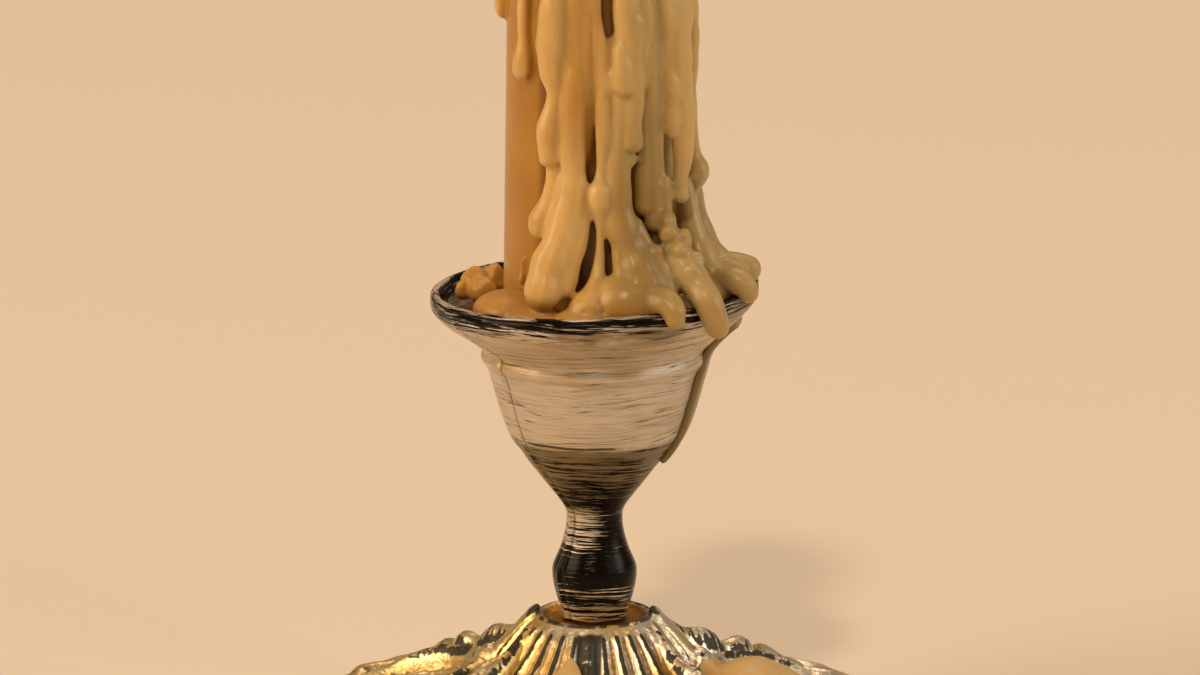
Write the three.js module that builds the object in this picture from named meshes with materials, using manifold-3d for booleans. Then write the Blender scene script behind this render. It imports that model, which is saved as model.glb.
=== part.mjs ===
// A burnt-down taper candle, stuck with its own wax in a small cast candlestick.
//
// Units are millimetres. +Z is up, the candlestick's axis is the Z axis, the floor is Z = 0
// and the side with the most wax faces -Y and +X.
//
// Pieces: the wax candle with its runs and pool, its wick, the cup and stem casting, the
// base casting, the screw and washer that clamp them, and two separate splashes of wax on
// the base.

import * as THREE from "three";
import { mergeVertices } from "three/addons/utils/BufferGeometryUtils.js";
import Module from "manifold-3d";

const wasm = await Module();
wasm.setup();

// ---------------------------------------------------------------- driving dimensions

const GAP = 0.3; // clearance between pieces that touch

const RIM_Z = 59.8; // top of the cup's rim, on the axis
const FOOT_Z = 16.75; // underside of the stem
const RIM_TILT = Math.tan(THREE.MathUtils.degToRad(2.4)); // the bent rim stands higher at +X
const TILT_FROM = RIM_Z - 10; // the bend starts here and is complete at TILT_FULL
const TILT_FULL = RIM_Z - 2;

const CANDLE_R = 11.4; // at CANDLE_REF_Z
const CANDLE_REF_Z = 65;
const CANDLE_TAPER = 0.015; // radius lost per millimetre of height
const CANDLE_BOTTOM_Z = RIM_Z - 19.2;
const CANDLE_TOP_Z = 105.6; // the lip's high side
const MELT_DIP = 4.2; // how far the melted lip sinks on its low side
const MELT_AZIMUTH = 60; // the low side, from -Y towards +X

const WICK_R = 0.85;
const WICK_TOP_Z = 107.6;

const POOL_Z = 58.0; // level of the set wax in the cup

const DISH_Z = FOOT_Z - GAP; // floor of the dish that the stem stands in
const BASE_TURN = -4; // the base has worked round on its screw, in degrees about Z
const BASE_R = 38.8; // mean radius of the base's outline
const OUTLINE_OVAL = 1.6; // longer in X than in Y
const OUTLINE_LOBES = 1.1; // eight lobes
const OUTLINE_SCALLOPS = 0.35; // thirty-two scallops
const EDGE_H = 1.9; // thickness of the base at its edge
const WALL = 1.9; // thickness of the cast base
const FOOT_RIM = 3.2; // width of the flat rim that the base rests on

const SCREW_R = 2.4;
const SCREW_HEAD_R = 4.2;
const WASHER_R = 5.2;
const WASHER_H = 1.0;
const BOSS_Z = 12.6; // underside of the boss below the dish
const STEM_HOLE_TOP_Z = FOOT_Z + 8;

// ---------------------------------------------------------------- small helpers

const rad = THREE.MathUtils.degToRad;
const lerp = THREE.MathUtils.lerp;
const smooth = THREE.MathUtils.smoothstep;

// A closed geometry as a manifold-3d solid.
function toSolid(geometry) {
  const bare = geometry.index ? geometry.toNonIndexed() : geometry.clone();
  bare.deleteAttribute("normal");
  bare.deleteAttribute("uv");
  const merged = mergeVertices(bare, 1e-4);
  return new wasm.Manifold(
    new wasm.Mesh({
      numProp: 3,
      vertProperties: merged.attributes.position.array,
      triVerts: new Uint32Array(merged.index.array),
    }),
  );
}

// A manifold-3d solid as a geometry.
function toGeometry(solid) {
  const mesh = solid.getMesh();
  const positions = new Float32Array(mesh.numVert * 3);
  for (let i = 0; i < mesh.numVert; i++) {
    const start = i * mesh.numProp;
    positions.set(mesh.vertProperties.subarray(start, start + 3), i * 3);
  }
  return new THREE.BufferGeometry()
    .setAttribute("position", new THREE.BufferAttribute(positions, 3))
    .setIndex(new THREE.BufferAttribute(mesh.triVerts, 1));
}

// A solid of revolution about Z from [radius, z] pairs.
function turned(profile, segments) {
  const points = profile.map(([r, z]) => new THREE.Vector2(r, z));
  return new THREE.LatheGeometry(points, segments).rotateX(Math.PI / 2);
}

function cylinder(radius, low, high, segments = 32) {
  return turned(
    [
      [0, low],
      [radius, low],
      [radius, high],
      [0, high],
    ],
    segments,
  );
}

// A point at an azimuth from -Y towards +X, a distance from the axis, and a height.
function around(azimuth, distance, z) {
  const a = rad(azimuth);
  return new THREE.Vector3(distance * Math.sin(a), -distance * Math.cos(a), z);
}

// Moves every vertex of a geometry in place.
function reshape(geometry, move) {
  const position = geometry.attributes.position;
  const point = new THREE.Vector3();
  for (let i = 0; i < position.count; i++) {
    point.fromBufferAttribute(position, i);
    move(point);
    position.setXYZ(i, point.x, point.y, point.z);
  }
  return geometry;
}

// The height at x of the line through [x, y] pairs, level beyond its ends.
function through(pairs, x) {
  const last = pairs.length - 1;
  if (x <= pairs[0][0]) return pairs[0][1];
  if (x >= pairs[last][0]) return pairs[last][1];
  const i = pairs.findIndex(([px]) => px > x) - 1;
  const [x0, y0] = pairs[i];
  const [x1, y1] = pairs[i + 1];
  return lerp(y0, y1, (x - x0) / (x1 - x0));
}

// ---------------------------------------------------------------- cup and stem

// Outside of the casting, from the rim down to the foot, as [radius, depth below the rim].
const CUP_OUTSIDE = [
  [20.2, 0],
  [20.75, -0.5],
  [20.7, -1.5],
  [20.2, -2.2],
  [18.9, -3.9],
  [14.7, -7.4],
  [14.1, -8.2],
  [14.3, -9.0],
  [14.0, -9.9],
  [13.3, -11.2],
  [12.4, -14.4],
  [11.4, -17.6],
  [10.4, -19.8],
  [8.6, -22.2],
  [6.0, -25.7],
  [4.1, -28.2],
  [3.5, -29.4],
  [3.6, -31.4],
  [4.2, -33.8],
  [5.0, -35.7],
  [5.35, -37.2],
  [5.3, -38.9],
  [5.05, -41.2],
  [4.6, -42.6],
  [4.1, FOOT_Z - RIM_Z],
];

// Inside of the cup, from its floor up to the rim.
const CUP_INSIDE = [
  [0, -19.6],
  [8.2, -19.6],
  [9.4, -18.4],
  [10.6, -14.4],
  [11.6, -11.2],
  [12.2, -9.0],
  [13.0, -7.4],
  [17.9, -2.9],
  [19.3, -0.8],
  [19.7, -0.1],
];

const CUP_SEGMENTS = 36;

const SCREW_HOLE = [
  [SCREW_R + GAP, FOOT_Z - RIM_Z],
  [SCREW_R + GAP, STEM_HOLE_TOP_Z - RIM_Z],
  [0, STEM_HOLE_TOP_Z + 1.4 - RIM_Z],
];

// Raises the rim towards +X, more the nearer it is to the top.
function bendRim(point) {
  point.z += point.x * RIM_TILT * smooth(point.z, TILT_FROM, TILT_FULL);
}

function cupGeometry() {
  const profile = [
    ...CUP_INSIDE,
    ...CUP_OUTSIDE,
    ...SCREW_HOLE,
  ].map(([r, depth]) => [r, RIM_Z + depth]);
  return reshape(turned(profile.reverse(), CUP_SEGMENTS), bendRim);
}

// The cup's wall grown by the gap, which the wax is cut with.
function cupCutter() {
  const wall = [...CUP_INSIDE, ...CUP_OUTSIDE, [0, FOOT_Z - RIM_Z]];
  const grown = wall.map(([r, depth], i) => {
    const [r0, z0] = wall[Math.max(i - 1, 0)];
    const [r1, z1] = wall[Math.min(i + 1, wall.length - 1)];
    const length = Math.hypot(r1 - r0, z1 - z0);
    const out = r < 0.01 ? 0 : -(z1 - z0) / length;
    const up = (r1 - r0) / length;
    return [r + GAP * out, RIM_Z + depth + GAP * up];
  });
  return reshape(turned(grown.reverse(), CUP_SEGMENTS), bendRim);
}

// ---------------------------------------------------------------- wax

// Runs of wax, each a list of [azimuth, distance from the axis, z, radius].
const RUNS = {
  edge_tear: [
    [-92, 10.2, 104.2, 1.2],
    [-92, 10.8, 99.5, 1.2],
    [-92, 11.0, 96, 1.4],
    [-92, 11.1, 95, 1.3],
  ],
  thin_tear: [
    [-46, 10.2, 103.2, 1.0],
    [-49, 11.1, 98.6, 0.8],
    [-50, 11.2, 94.3, 0.76],
    [-49, 11.3, 91.8, 0.9],
    [-49, 11.5, 89.0, 1.25],
  ],
  left_broad: [
    [-22, 10.2, 102.4, 1.8],
    [-24, 11.5, 99, 1.6],
    [-26, 11.8, 93.8, 1.75],
    [-27, 11.8, 89.9, 1.7],
    [-24, 11.7, 86.3, 1.0],
    [-26, 12.2, 82.9, 1.35],
    [-27, 12.6, 80.0, 1.4],
    [-26, 12.7, 78.6, 1.3],
  ],
  under_left: [
    [-25, 11.6, 78, 0.75],
    [-25, 11.7, 73.7, 0.85],
    [-28, 11.9, 71.5, 0.95],
    [-31, 12.1, 69.8, 1.2],
  ],
  shoulder: [
    [-9, 9.9, 101.8, 2.2],
    [-11, 10.6, 97.6, 2.6],
    [-11, 10.9, 91, 2.3],
    [-11, 11.2, 86, 1.6],
  ],
  long_left: [
    [-11, 11.5, 90, 1.7],
    [-11, 11.8, 84.9, 1.6],
    [-12, 12.0, 79.8, 1.75],
    [-12, 12.4, 74.7, 1.9],
    [-15, 13.0, 70.9, 2.15],
    [-18, 13.8, 67.8, 2.3],
    [-22, 14.8, 64.7, 2.4],
    [-23, 15.8, 62.0, 2.5],
  ],
  beads: [
    [2, 10.3, 102.6, 1.0],
    [1, 11.5, 99.4, 0.9],
    [2, 11.7, 95.3, 0.78],
    [3, 12.1, 87.0, 0.95],
    [3, 12.4, 82.5, 1.1],
    [3, 12.3, 78.0, 0.6],
    [3, 12.5, 75.4, 0.9],
    [3, 12.8, 73.2, 1.35],
    [3, 12.8, 70.7, 0.78],
    [3, 13.2, 67.2, 0.82],
    [2, 14.0, 64.1, 1.2],
    [0, 15.5, 61.6, 1.9],
  ],
  mid_right: [
    [18, 10.2, 101.8, 2.0],
    [20, 11.7, 98.6, 1.8],
    [22, 12.1, 93.9, 2.15],
    [22, 12.6, 89.5, 1.8],
    [23, 12.9, 85.5, 1.35],
    [22, 13.0, 80.1, 1.25],
  ],
  mid_drop: [
    [16, 12.6, 92, 1.1],
    [15, 13.4, 87.6, 1.25],
  ],
  main: [
    [17, 12.0, 88, 1.3],
    [14, 12.2, 78.5, 1.65],
    [13, 12.8, 73.5, 1.7],
    [15, 13.4, 69.7, 2.1],
    [21, 14.0, 66.5, 2.8],
    [25, 15.0, 63.4, 3.4],
    [26, 16.0, 61.4, 3.4],
  ],
  rim_drop: [
    [24, 17.5, 61.6, 2.0],
    [27, 19.6, 61.4, 1.7],
    [28, 21.0, 60.4, 1.5],
    [28, 21.4, 59.2, 1.3],
  ],
  shade_run: [
    [36, 10.3, 101.2, 1.3],
    [36, 11.5, 96, 1.1],
    [36, 11.6, 87, 1.0],
    [36, 11.6, 79, 0.9],
    [36, 12.3, 71.6, 1.0],
    [35, 12.6, 69.8, 1.15],
  ],
  right_run: [
    [52, 10.2, 101.2, 2.2],
    [55, 11.9, 98.0, 2.15],
    [54, 12.4, 90.5, 1.9],
    [55, 12.8, 86.0, 1.65],
    [56, 13.0, 81.4, 1.5],
    [54, 13.2, 75.1, 0.8],
    [52, 13.4, 72.6, 1.2],
  ],
  edge_run: [
    [85, 10.2, 101.4, 1.4],
    [86, 11.3, 97, 1.2],
    [86, 11.5, 92, 1.4],
    [86, 11.4, 84, 1.1],
    [86, 11.8, 77, 1.5],
    [86, 12.2, 74.3, 1.9],
    [86, 11.7, 71.4, 0.95],
    [84, 12.2, 67.5, 1.3],
    [80, 13.6, 64.6, 1.8],
    [76, 16.0, 63.0, 2.0],
    [72, 18.6, 62.6, 1.8],
  ],
  edge_lobe_back: [
    [76, 15.0, 63.0, 2.0],
    [82, 17.8, 62.7, 1.8],
    [84, 20.2, 61.8, 1.6],
  ],
  edge_lobe_front: [
    [72, 18.0, 62.6, 1.7],
    [70, 20.4, 61.8, 1.5],
    [70, 21.5, 60.2, 1.4],
    [70, 21.5, 59.2, 1.1],
  ],
  edge_lobe_low: [
    [66, 14.0, 63.0, 1.6],
    [64, 17.0, 61.9, 1.7],
    [63, 18.6, 60.8, 1.4],
  ],
  tongue: [
    [42, 12.6, 70.0, 1.2],
    [42, 13.4, 68.3, 1.5],
    [41, 14.8, 66.7, 1.8],
    [41, 16.8, 64.7, 2.0],
    [42, 18.8, 62.9, 1.9],
    [42, 20.9, 60.9, 1.7],
    [44, 21.6, 58.6, 1.65],
    [44, 21.6, 57.6, 1.5],
  ],
  orange_run: [
    [44, 12.2, 74.4, 0.9],
    [43, 12.4, 72.5, 1.1],
    [43, 13.0, 69.6, 0.8],
  ],
  back_run_a: [
    [118, 10.2, 102.4, 1.7],
    [120, 11.3, 98, 1.4],
    [121, 11.8, 92, 1.8],
    [120, 11.9, 82, 1.3],
    [122, 12.5, 74, 1.9],
    [122, 12.6, 71.5, 1.5],
  ],
  back_run_b: [
    [148, 10.2, 103.2, 1.5],
    [150, 11.2, 98.5, 1.2],
    [149, 11.4, 92, 1.5],
    [150, 11.6, 88.5, 1.3],
  ],
  back_run_c: [
    [104, 10.3, 101.4, 1.4],
    [105, 11.3, 97, 1.3],
    [104, 11.6, 84, 1.2],
    [103, 12.2, 72, 1.5],
    [104, 13.6, 65, 2.0],
    [106, 15.6, 61.6, 2.2],
  ],
  outside_run: [
    [74, 18.6, 60.9, 1.5],
    [75, 20.8, 60.9, 1.5],
    [75, 21.7, 59.6, 1.2],
    [75, 21.3, 57.6, 1.1],
    [76, 19.2, 55.4, 1.0],
    [77, 16.8, 53.4, 1.0],
    [78, 15.0, 51.4, 1.0],
    [79, 14.2, 49.0, 1.0],
    [80, 13.2, 46.0, 1.0],
    [81, 12.4, 42.6, 1.0],
    [82, 11.2, 39.9, 1.0],
    [82, 9.4, 37.5, 1.1],
  ],
};

// Mounds of set wax round the candle's foot: [azimuth, distance, z, size along, across, up].
const MOUNDS = [
  [-50, 13.4, 58.4, 5.2, 4.6, 2.2],
  [-3, 16.0, 58.6, 3.6, 3.4, 2.4],
  [27, 14.5, 59.4, 4.8, 6.0, 3.8],
  [60, 15.0, 59.6, 4.4, 6.0, 3.4],
  [96, 14.6, 59.2, 4.6, 6.4, 2.8],
  [140, 13.4, 58.2, 3.6, 5.6, 1.8],
];

// A run as a closed tube of changing radius with round ends.
function runGeometry(points, sides) {
  const curve = new THREE.CatmullRomCurve3(
    points.map(([azimuth, distance, z]) => around(azimuth, distance, z)),
  );
  const radii = points.map((point) => point[3]);
  const steps = Math.ceil((points.length - 1) * 1.5);
  const rings = [];
  for (let i = 0; i <= steps; i++) {
    const t = i / steps;
    const at = t * (radii.length - 1);
    const low = Math.min(Math.floor(at), radii.length - 2);
    const radius = lerp(radii[low], radii[low + 1], at - low);
    rings.push([curve.getPoint(t), curve.getTangent(t), radius]);
  }
  const [firstPoint, firstTangent, firstRadius] = rings[0];
  const [lastPoint, lastTangent, lastRadius] = rings[steps];
  const capRings = [[0.65, 0.75]];
  for (const [ahead, share] of capRings) {
    const front = lastPoint.clone().addScaledVector(lastTangent, ahead * lastRadius);
    rings.push([front, lastTangent, share * lastRadius]);
    const back = firstPoint.clone().addScaledVector(firstTangent, -ahead * firstRadius);
    rings.unshift([back, firstTangent, share * firstRadius]);
  }
  const positions = [];
  const normal = new THREE.Vector3(1, 0.3, 0.1).normalize();
  for (const [centre, tangent, radius] of rings) {
    normal.addScaledVector(tangent, -normal.dot(tangent)).normalize();
    const side = new THREE.Vector3().crossVectors(tangent, normal);
    for (let k = 0; k < sides; k++) {
      const a = (k / sides) * Math.PI * 2;
      const vertex = centre
        .clone()
        .addScaledVector(normal, radius * Math.cos(a))
        .addScaledVector(side, radius * Math.sin(a));
      positions.push(vertex.x, vertex.y, vertex.z);
    }
  }
  const startTip = positions.length / 3;
  const start = firstPoint.clone().addScaledVector(firstTangent, -firstRadius);
  const end = lastPoint.clone().addScaledVector(lastTangent, lastRadius);
  positions.push(start.x, start.y, start.z, end.x, end.y, end.z);
  const faces = [];
  for (let i = 0; i < rings.length - 1; i++) {
    for (let k = 0; k < sides; k++) {
      const a = i * sides + k;
      const b = i * sides + ((k + 1) % sides);
      faces.push(a, b, b + sides, a, b + sides, a + sides);
    }
  }
  const lastRing = (rings.length - 1) * sides;
  for (let k = 0; k < sides; k++) {
    const next = (k + 1) % sides;
    faces.push(startTip, next, k);
    faces.push(startTip + 1, lastRing + k, lastRing + next);
  }
  return new THREE.BufferGeometry()
    .setAttribute("position", new THREE.Float32BufferAttribute(positions, 3))
    .setIndex(faces);
}

function moundGeometry([azimuth, distance, z, along, across, up], segments = 12) {
  const centre = around(azimuth, distance, z);
  return new THREE.SphereGeometry(1, segments, segments / 2)
    .rotateX(Math.PI / 2)
    .scale(across, along, up)
    .rotateZ(rad(azimuth))
    .translate(centre.x, centre.y, centre.z);
}

function candleRadius(z) {
  return CANDLE_R - CANDLE_TAPER * (z - CANDLE_REF_Z);
}

// The shaft, with a shallow crater at the top that sinks on its low side.
function shaftGeometry() {
  const top = candleRadius(CANDLE_TOP_Z);
  const profile = [
    [0, CANDLE_BOTTOM_Z],
    [8.6, CANDLE_BOTTOM_Z],
    [CANDLE_R, CANDLE_BOTTOM_Z + 9],
    [candleRadius(84), 84],
    [top, CANDLE_TOP_Z - 2.5],
    [top - 0.5, CANDLE_TOP_Z - 0.6],
    [top - 1.3, CANDLE_TOP_Z],
    [top - 2.4, CANDLE_TOP_Z - 0.8],
    [top - 5, CANDLE_TOP_Z - 3.0],
    [0, CANDLE_TOP_Z - 3.8],
  ];
  const low = around(MELT_AZIMUTH, 1, 0);
  return reshape(turned(profile, 32), (point) => {
    const towards = (point.x * low.x + point.y * low.y) / top;
    const share = smooth(point.z, CANDLE_TOP_Z - 12, CANDLE_TOP_Z);
    point.z -= MELT_DIP * share * (0.5 + 0.5 * towards);
  });
}

// The pool that fills the cup round the candle, reaching a little way into the cup's wall.
function poolGeometry() {
  const wall = CUP_INSIDE.map(([r, depth]) => [r + 0.5, RIM_Z + depth]);
  const wetted = wall.filter(([, z]) => z > CANDLE_BOTTOM_Z + 5 && z < POOL_Z);
  const profile = [[0, CANDLE_BOTTOM_Z + 5], ...wetted, [18.6, POOL_Z], [0, POOL_Z + 0.3]];
  return reshape(turned(profile, 32), bendRim);
}

function waxGeometry() {
  let wax = toSolid(shaftGeometry()).add(toSolid(poolGeometry()));
  for (const mound of MOUNDS) wax = wax.add(toSolid(moundGeometry(mound)));
  for (const run of Object.values(RUNS)) wax = wax.add(toSolid(runGeometry(run, 6)));
  wax = wax.subtract(toSolid(cupCutter()));
  wax = wax.subtract(toSolid(cylinder(WICK_R + GAP, CANDLE_BOTTOM_Z - 2, CANDLE_TOP_Z + 2, 12)));
  const parts = wax.decompose().sort((a, b) => b.volume() - a.volume());
  return toGeometry(parts[0]);
}

// ---------------------------------------------------------------- wick

function wickGeometry() {
  const path = new THREE.CatmullRomCurve3([
    new THREE.Vector3(0, 0, CANDLE_BOTTOM_Z + 0.5),
    new THREE.Vector3(0, 0, CANDLE_TOP_Z - 20),
    new THREE.Vector3(0, 0, CANDLE_TOP_Z - 4.5),
    new THREE.Vector3(0.5, -0.2, WICK_TOP_Z - 3.6),
    new THREE.Vector3(1.6, -0.7, WICK_TOP_Z - 1.8),
    new THREE.Vector3(3.0, -1.3, WICK_TOP_Z - 0.8),
  ]);
  const section = new THREE.Shape().absarc(0, 0, WICK_R, 0, Math.PI * 2, false);
  return new THREE.ExtrudeGeometry(section, {
    extrudePath: path,
    steps: 16,
    curveSegments: 4,
    bevelEnabled: false,
  });
}

// ---------------------------------------------------------------- base

// Height of the plain base, as [radius, z].
const BASE_PROFILE = [
  [0, DISH_Z],
  [6.1, DISH_Z],
  [6.7, 16.8],
  [7.2, 17.05],
  [7.7, 16.6],
  [8.2, 16.3],
  [9.2, 15.3],
  [11, 13.0],
  [13, 10.6],
  [15, 9.0],
  [18, 7.5],
  [22, 6.3],
  [26, 5.4],
  [30, 4.6],
  [34, 3.6],
  [38, 2.5],
  [42, 1.9],
];

const FLUTE_PITCH = 12; // degrees between the ribs of a fan
const FLUTE_EDGE = 78; // each fan reaches this far either side of the middle
const BIG_RIB = 84; // azimuth of the thick rib at each end of a fan

// One quarter's raised ornament: [x, y, height, radius] of round bosses.
const BOSSES = [
  [14.6, 1.6, 2.2, 1.9],
  [12.4, 12.0, 1.7, 1.9],
  [16.2, 15.2, 1.9, 2.0],
  [20.0, 18.2, 1.7, 1.9],
  [23.6, 21.2, 1.6, 1.8],
  [31.5, 14.0, 2.2, 2.4],
];

// The rolled frame of the cartouche at each side.
const FRAME = { x: 27, halfLength: 12.4, halfWidth: 10.4, height: 2.3, width: 1.5 };

function outlineRadius(angle) {
  return (
    BASE_R +
    OUTLINE_OVAL * Math.cos(2 * angle) +
    OUTLINE_LOBES * Math.cos(8 * angle) +
    OUTLINE_SCALLOPS * Math.cos(32 * angle)
  );
}

function bump(distance, width, height) {
  return distance >= width ? 0 : height * Math.sqrt(1 - (distance / width) ** 2);
}

// Height of the base's top above the floor. Quarters repeat by mirroring.
function baseHeight(x, y) {
  const r = Math.hypot(x, y);
  const ax = Math.abs(x);
  const ay = Math.abs(y);
  let z = through(BASE_PROFILE, r);
  const azimuth = THREE.MathUtils.radToDeg(Math.atan2(ax, ay));
  const rise = smooth(r, 7.9, 9.5) * (1 - smooth(r, 22, 26));
  if (azimuth < FLUTE_EDGE) {
    const wave = Math.abs(Math.cos((Math.PI * azimuth) / FLUTE_PITCH));
    z += rise * (0.35 + r * 0.035) * wave;
  }
  const ribOff = r * Math.abs(rad(azimuth - BIG_RIB));
  z += bump(ribOff, 1.3, 1.5) * smooth(r, 7.4, 8.6) * (1 - smooth(r, 13, 15));
  const u = (ax - FRAME.x) / FRAME.halfLength;
  const v = ay / FRAME.halfWidth;
  const off = Math.abs(Math.hypot(u, v) - 1) * 0.5 * (FRAME.halfLength + FRAME.halfWidth);
  z += bump(off, FRAME.width, FRAME.height) * smooth(r, 13.5, 17);
  for (const [bx, by, height, radius] of BOSSES) {
    z += bump(Math.hypot(ax - bx, ay - by), radius, height);
  }
  return z;
}

// The base before it is hollowed: its top on a polar grid, a thin edge and a flat underside.
function baseBlock(lift) {
  const around = 96;
  const shares = [0.16, 0.185, 0.2, 0.24, 0.3, 0.36, 0.42, 0.5, 0.58, 0.66, 0.75, 0.85, 0.94];
  const positions = [0, 0, DISH_Z + lift];
  for (const share of shares) {
    for (let i = 0; i < around; i++) {
      const angle = (i / around) * Math.PI * 2;
      const r = share * outlineRadius(angle);
      const x = r * Math.cos(angle);
      const y = r * Math.sin(angle);
      positions.push(x, y, baseHeight(x, y) + lift);
    }
  }
  for (const z of [EDGE_H * 0.6, 0]) {
    for (let i = 0; i < around; i++) {
      const angle = (i / around) * Math.PI * 2;
      const r = outlineRadius(angle) - (z === 0 ? 0.4 : 0);
      positions.push(r * Math.cos(angle), r * Math.sin(angle), z);
    }
  }
  const rings = shares.length + 2;
  const under = 1 + rings * around;
  positions.push(0, 0, 0);
  const faces = [];
  for (let i = 0; i < around; i++) {
    const next = (i + 1) % around;
    faces.push(0, 1 + i, 1 + next);
    for (let ring = 0; ring < rings - 1; ring++) {
      const a = 1 + ring * around + i;
      const b = 1 + ring * around + next;
      faces.push(a, a + around, b + around, a, b + around, b);
    }
    const last = 1 + (rings - 1) * around;
    faces.push(under, last + next, last + i);
  }
  return new THREE.BufferGeometry()
    .setAttribute("position", new THREE.Float32BufferAttribute(positions, 3))
    .setIndex(faces)
    .rotateZ(rad(BASE_TURN));
}

// The hollow under the base: its roof follows the plain profile, round the screw's boss.
function hollowGeometry() {
  const inner = BASE_R - OUTLINE_OVAL - OUTLINE_LOBES - FOOT_RIM;
  const roof = BASE_PROFILE.filter(([r]) => r > 9 && r < inner);
  const profile = [
    [0, -1],
    [inner, -1],
    [inner, through(BASE_PROFILE, inner) - WALL],
    ...roof.reverse().map(([r, z]) => [r - WALL * 0.6, z - WALL]),
    [WASHER_R + 1.2, BOSS_Z],
    [0, BOSS_Z],
  ];
  return turned(profile, 32);
}

function baseGeometry() {
  return toGeometry(
    toSolid(baseBlock(0))
      .subtract(toSolid(hollowGeometry()))
      .subtract(toSolid(cylinder(SCREW_R + GAP + 0.2, BOSS_Z - 2, DISH_Z + 2, 24))),
  );
}

// ---------------------------------------------------------------- clamping screw and washer

function washerGeometry() {
  const top = BOSS_Z - GAP;
  return turned(
    [
      [SCREW_R + GAP, top - WASHER_H],
      [WASHER_R, top - WASHER_H],
      [WASHER_R, top],
      [SCREW_R + GAP, top],
      [SCREW_R + GAP, top - WASHER_H],
    ],
    24,
  );
}

function screwGeometry() {
  const seat = BOSS_Z - 2 * GAP - WASHER_H;
  const body = turned(
    [
      [0, seat - 2.6],
      [SCREW_HEAD_R - 0.8, seat - 2.6],
      [SCREW_HEAD_R, seat - 1.6],
      [SCREW_HEAD_R, seat],
      [SCREW_R, seat],
      [SCREW_R, STEM_HOLE_TOP_Z - 0.8],
      [SCREW_R - 0.6, STEM_HOLE_TOP_Z - 0.2],
      [0, STEM_HOLE_TOP_Z - 0.2],
    ],
    24,
  );
  const slot = new THREE.BoxGeometry(2 * SCREW_HEAD_R + 1, 1.1, 1.6).translate(0, 0, seat - 2.6);
  return toGeometry(toSolid(body).subtract(toSolid(slot)));
}

// ---------------------------------------------------------------- wax splashes on the base

// Each splash: ellipsoids [x, y, z, half length x, half length y, half height].
const SPLASHES = {
  wax_splash_right: [
    [19.6, -4.2, 9.6, 7.4, 6.4, 3.6],
    [22.0, -10.5, 7.0, 4.6, 5.2, 2.8],
    [15.2, -7.6, 9.0, 3.6, 4.2, 2.6],
  ],
  wax_splash_front: [
    [-3.6, -9.9, 14.0, 2.0, 2.2, 1.9],
    [-4.6, -12.4, 11.2, 2.6, 2.6, 2.2],
    [-5.2, -15.6, 8.8, 3.2, 3.2, 2.0],
  ],
};

function splashGeometry(lumps) {
  const joined = lumps
    .map(([x, y, z, halfX, halfY, halfZ]) =>
      toSolid(
        new THREE.SphereGeometry(1, 14, 8)
          .rotateX(Math.PI / 2)
          .scale(halfX, halfY, halfZ)
          .translate(x, y, z),
      ),
    )
    .reduce((whole, lump) => whole.add(lump));
  const parts = joined
    .subtract(toSolid(baseBlock(GAP)))
    .decompose()
    .sort((a, b) => b.volume() - a.volume());
  return toGeometry(parts[0]);
}

// ---------------------------------------------------------------- the assembled object

const finishes = {
  wax: { color: 0xd9a865, roughness: 0.45, metalness: 0 },
  wick: { color: 0x1c1612, roughness: 0.95, metalness: 0 },
  brushedSilver: { color: 0xb9a68c, roughness: 0.42, metalness: 0.7 },
  leafMetal: { color: 0xcdb27a, roughness: 0.25, metalness: 0.9 },
  steel: { color: 0x9a9a98, roughness: 0.35, metalness: 0.9 },
};

function piece(name, geometry, finish) {
  const mesh = new THREE.Mesh(geometry, new THREE.MeshStandardMaterial(finishes[finish]));
  mesh.name = name;
  return mesh;
}

const meltedCandle = new THREE.Group();
meltedCandle.name = "melted_candle";
meltedCandle.add(
  piece("wax_candle", waxGeometry(), "wax"),
  piece("wick", wickGeometry(), "wick"),
  piece("cup_and_stem", cupGeometry(), "brushedSilver"),
  piece("base", baseGeometry(), "leafMetal"),
  piece("base_washer", washerGeometry(), "steel"),
  piece("base_screw", screwGeometry(), "steel"),
);
for (const [name, lumps] of Object.entries(SPLASHES)) {
  meltedCandle.add(piece(name, splashGeometry(lumps), "wax"));
}

export default meltedCandle;
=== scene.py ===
"""A melted candle in a small antiqued candlestick, built piece by piece round its frame.

Sizes in this file are millimetres in the named values and metres on the objects. The
candlestick's axis is the Z axis, the floor is Z = 0, and the front is -Y. A place on the
candle is given as an azimuth from the front towards +X, a distance from the axis and a height.
"""

import math

import bpy
import numpy as np
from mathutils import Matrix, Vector, noise


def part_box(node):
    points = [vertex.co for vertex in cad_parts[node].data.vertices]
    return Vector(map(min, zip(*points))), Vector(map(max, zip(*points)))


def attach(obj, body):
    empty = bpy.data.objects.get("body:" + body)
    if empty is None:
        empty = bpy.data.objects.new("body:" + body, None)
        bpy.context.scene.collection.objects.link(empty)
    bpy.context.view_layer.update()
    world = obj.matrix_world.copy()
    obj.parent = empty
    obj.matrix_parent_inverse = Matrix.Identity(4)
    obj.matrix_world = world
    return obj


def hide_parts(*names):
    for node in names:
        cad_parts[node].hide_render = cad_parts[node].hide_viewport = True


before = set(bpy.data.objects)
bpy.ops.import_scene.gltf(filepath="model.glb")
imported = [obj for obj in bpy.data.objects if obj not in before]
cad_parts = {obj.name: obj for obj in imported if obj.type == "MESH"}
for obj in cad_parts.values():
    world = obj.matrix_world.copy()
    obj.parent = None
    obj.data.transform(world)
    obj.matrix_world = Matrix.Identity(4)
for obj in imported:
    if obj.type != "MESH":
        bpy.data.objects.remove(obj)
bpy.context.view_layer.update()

bl_info = {
    "name": "Melted Candle Maker",
    "version": (1, 0, 0),
    "blender": (4, 5, 0),
    "location": "3D View > Sidebar > Candle",
    "description": "Builds a burnt-down candle and the candlestick that it is stuck in",
    "category": "Add Mesh",
}

MM = 0.001

# ------------------------------------------------------------------ sizes shared by the pieces

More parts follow.
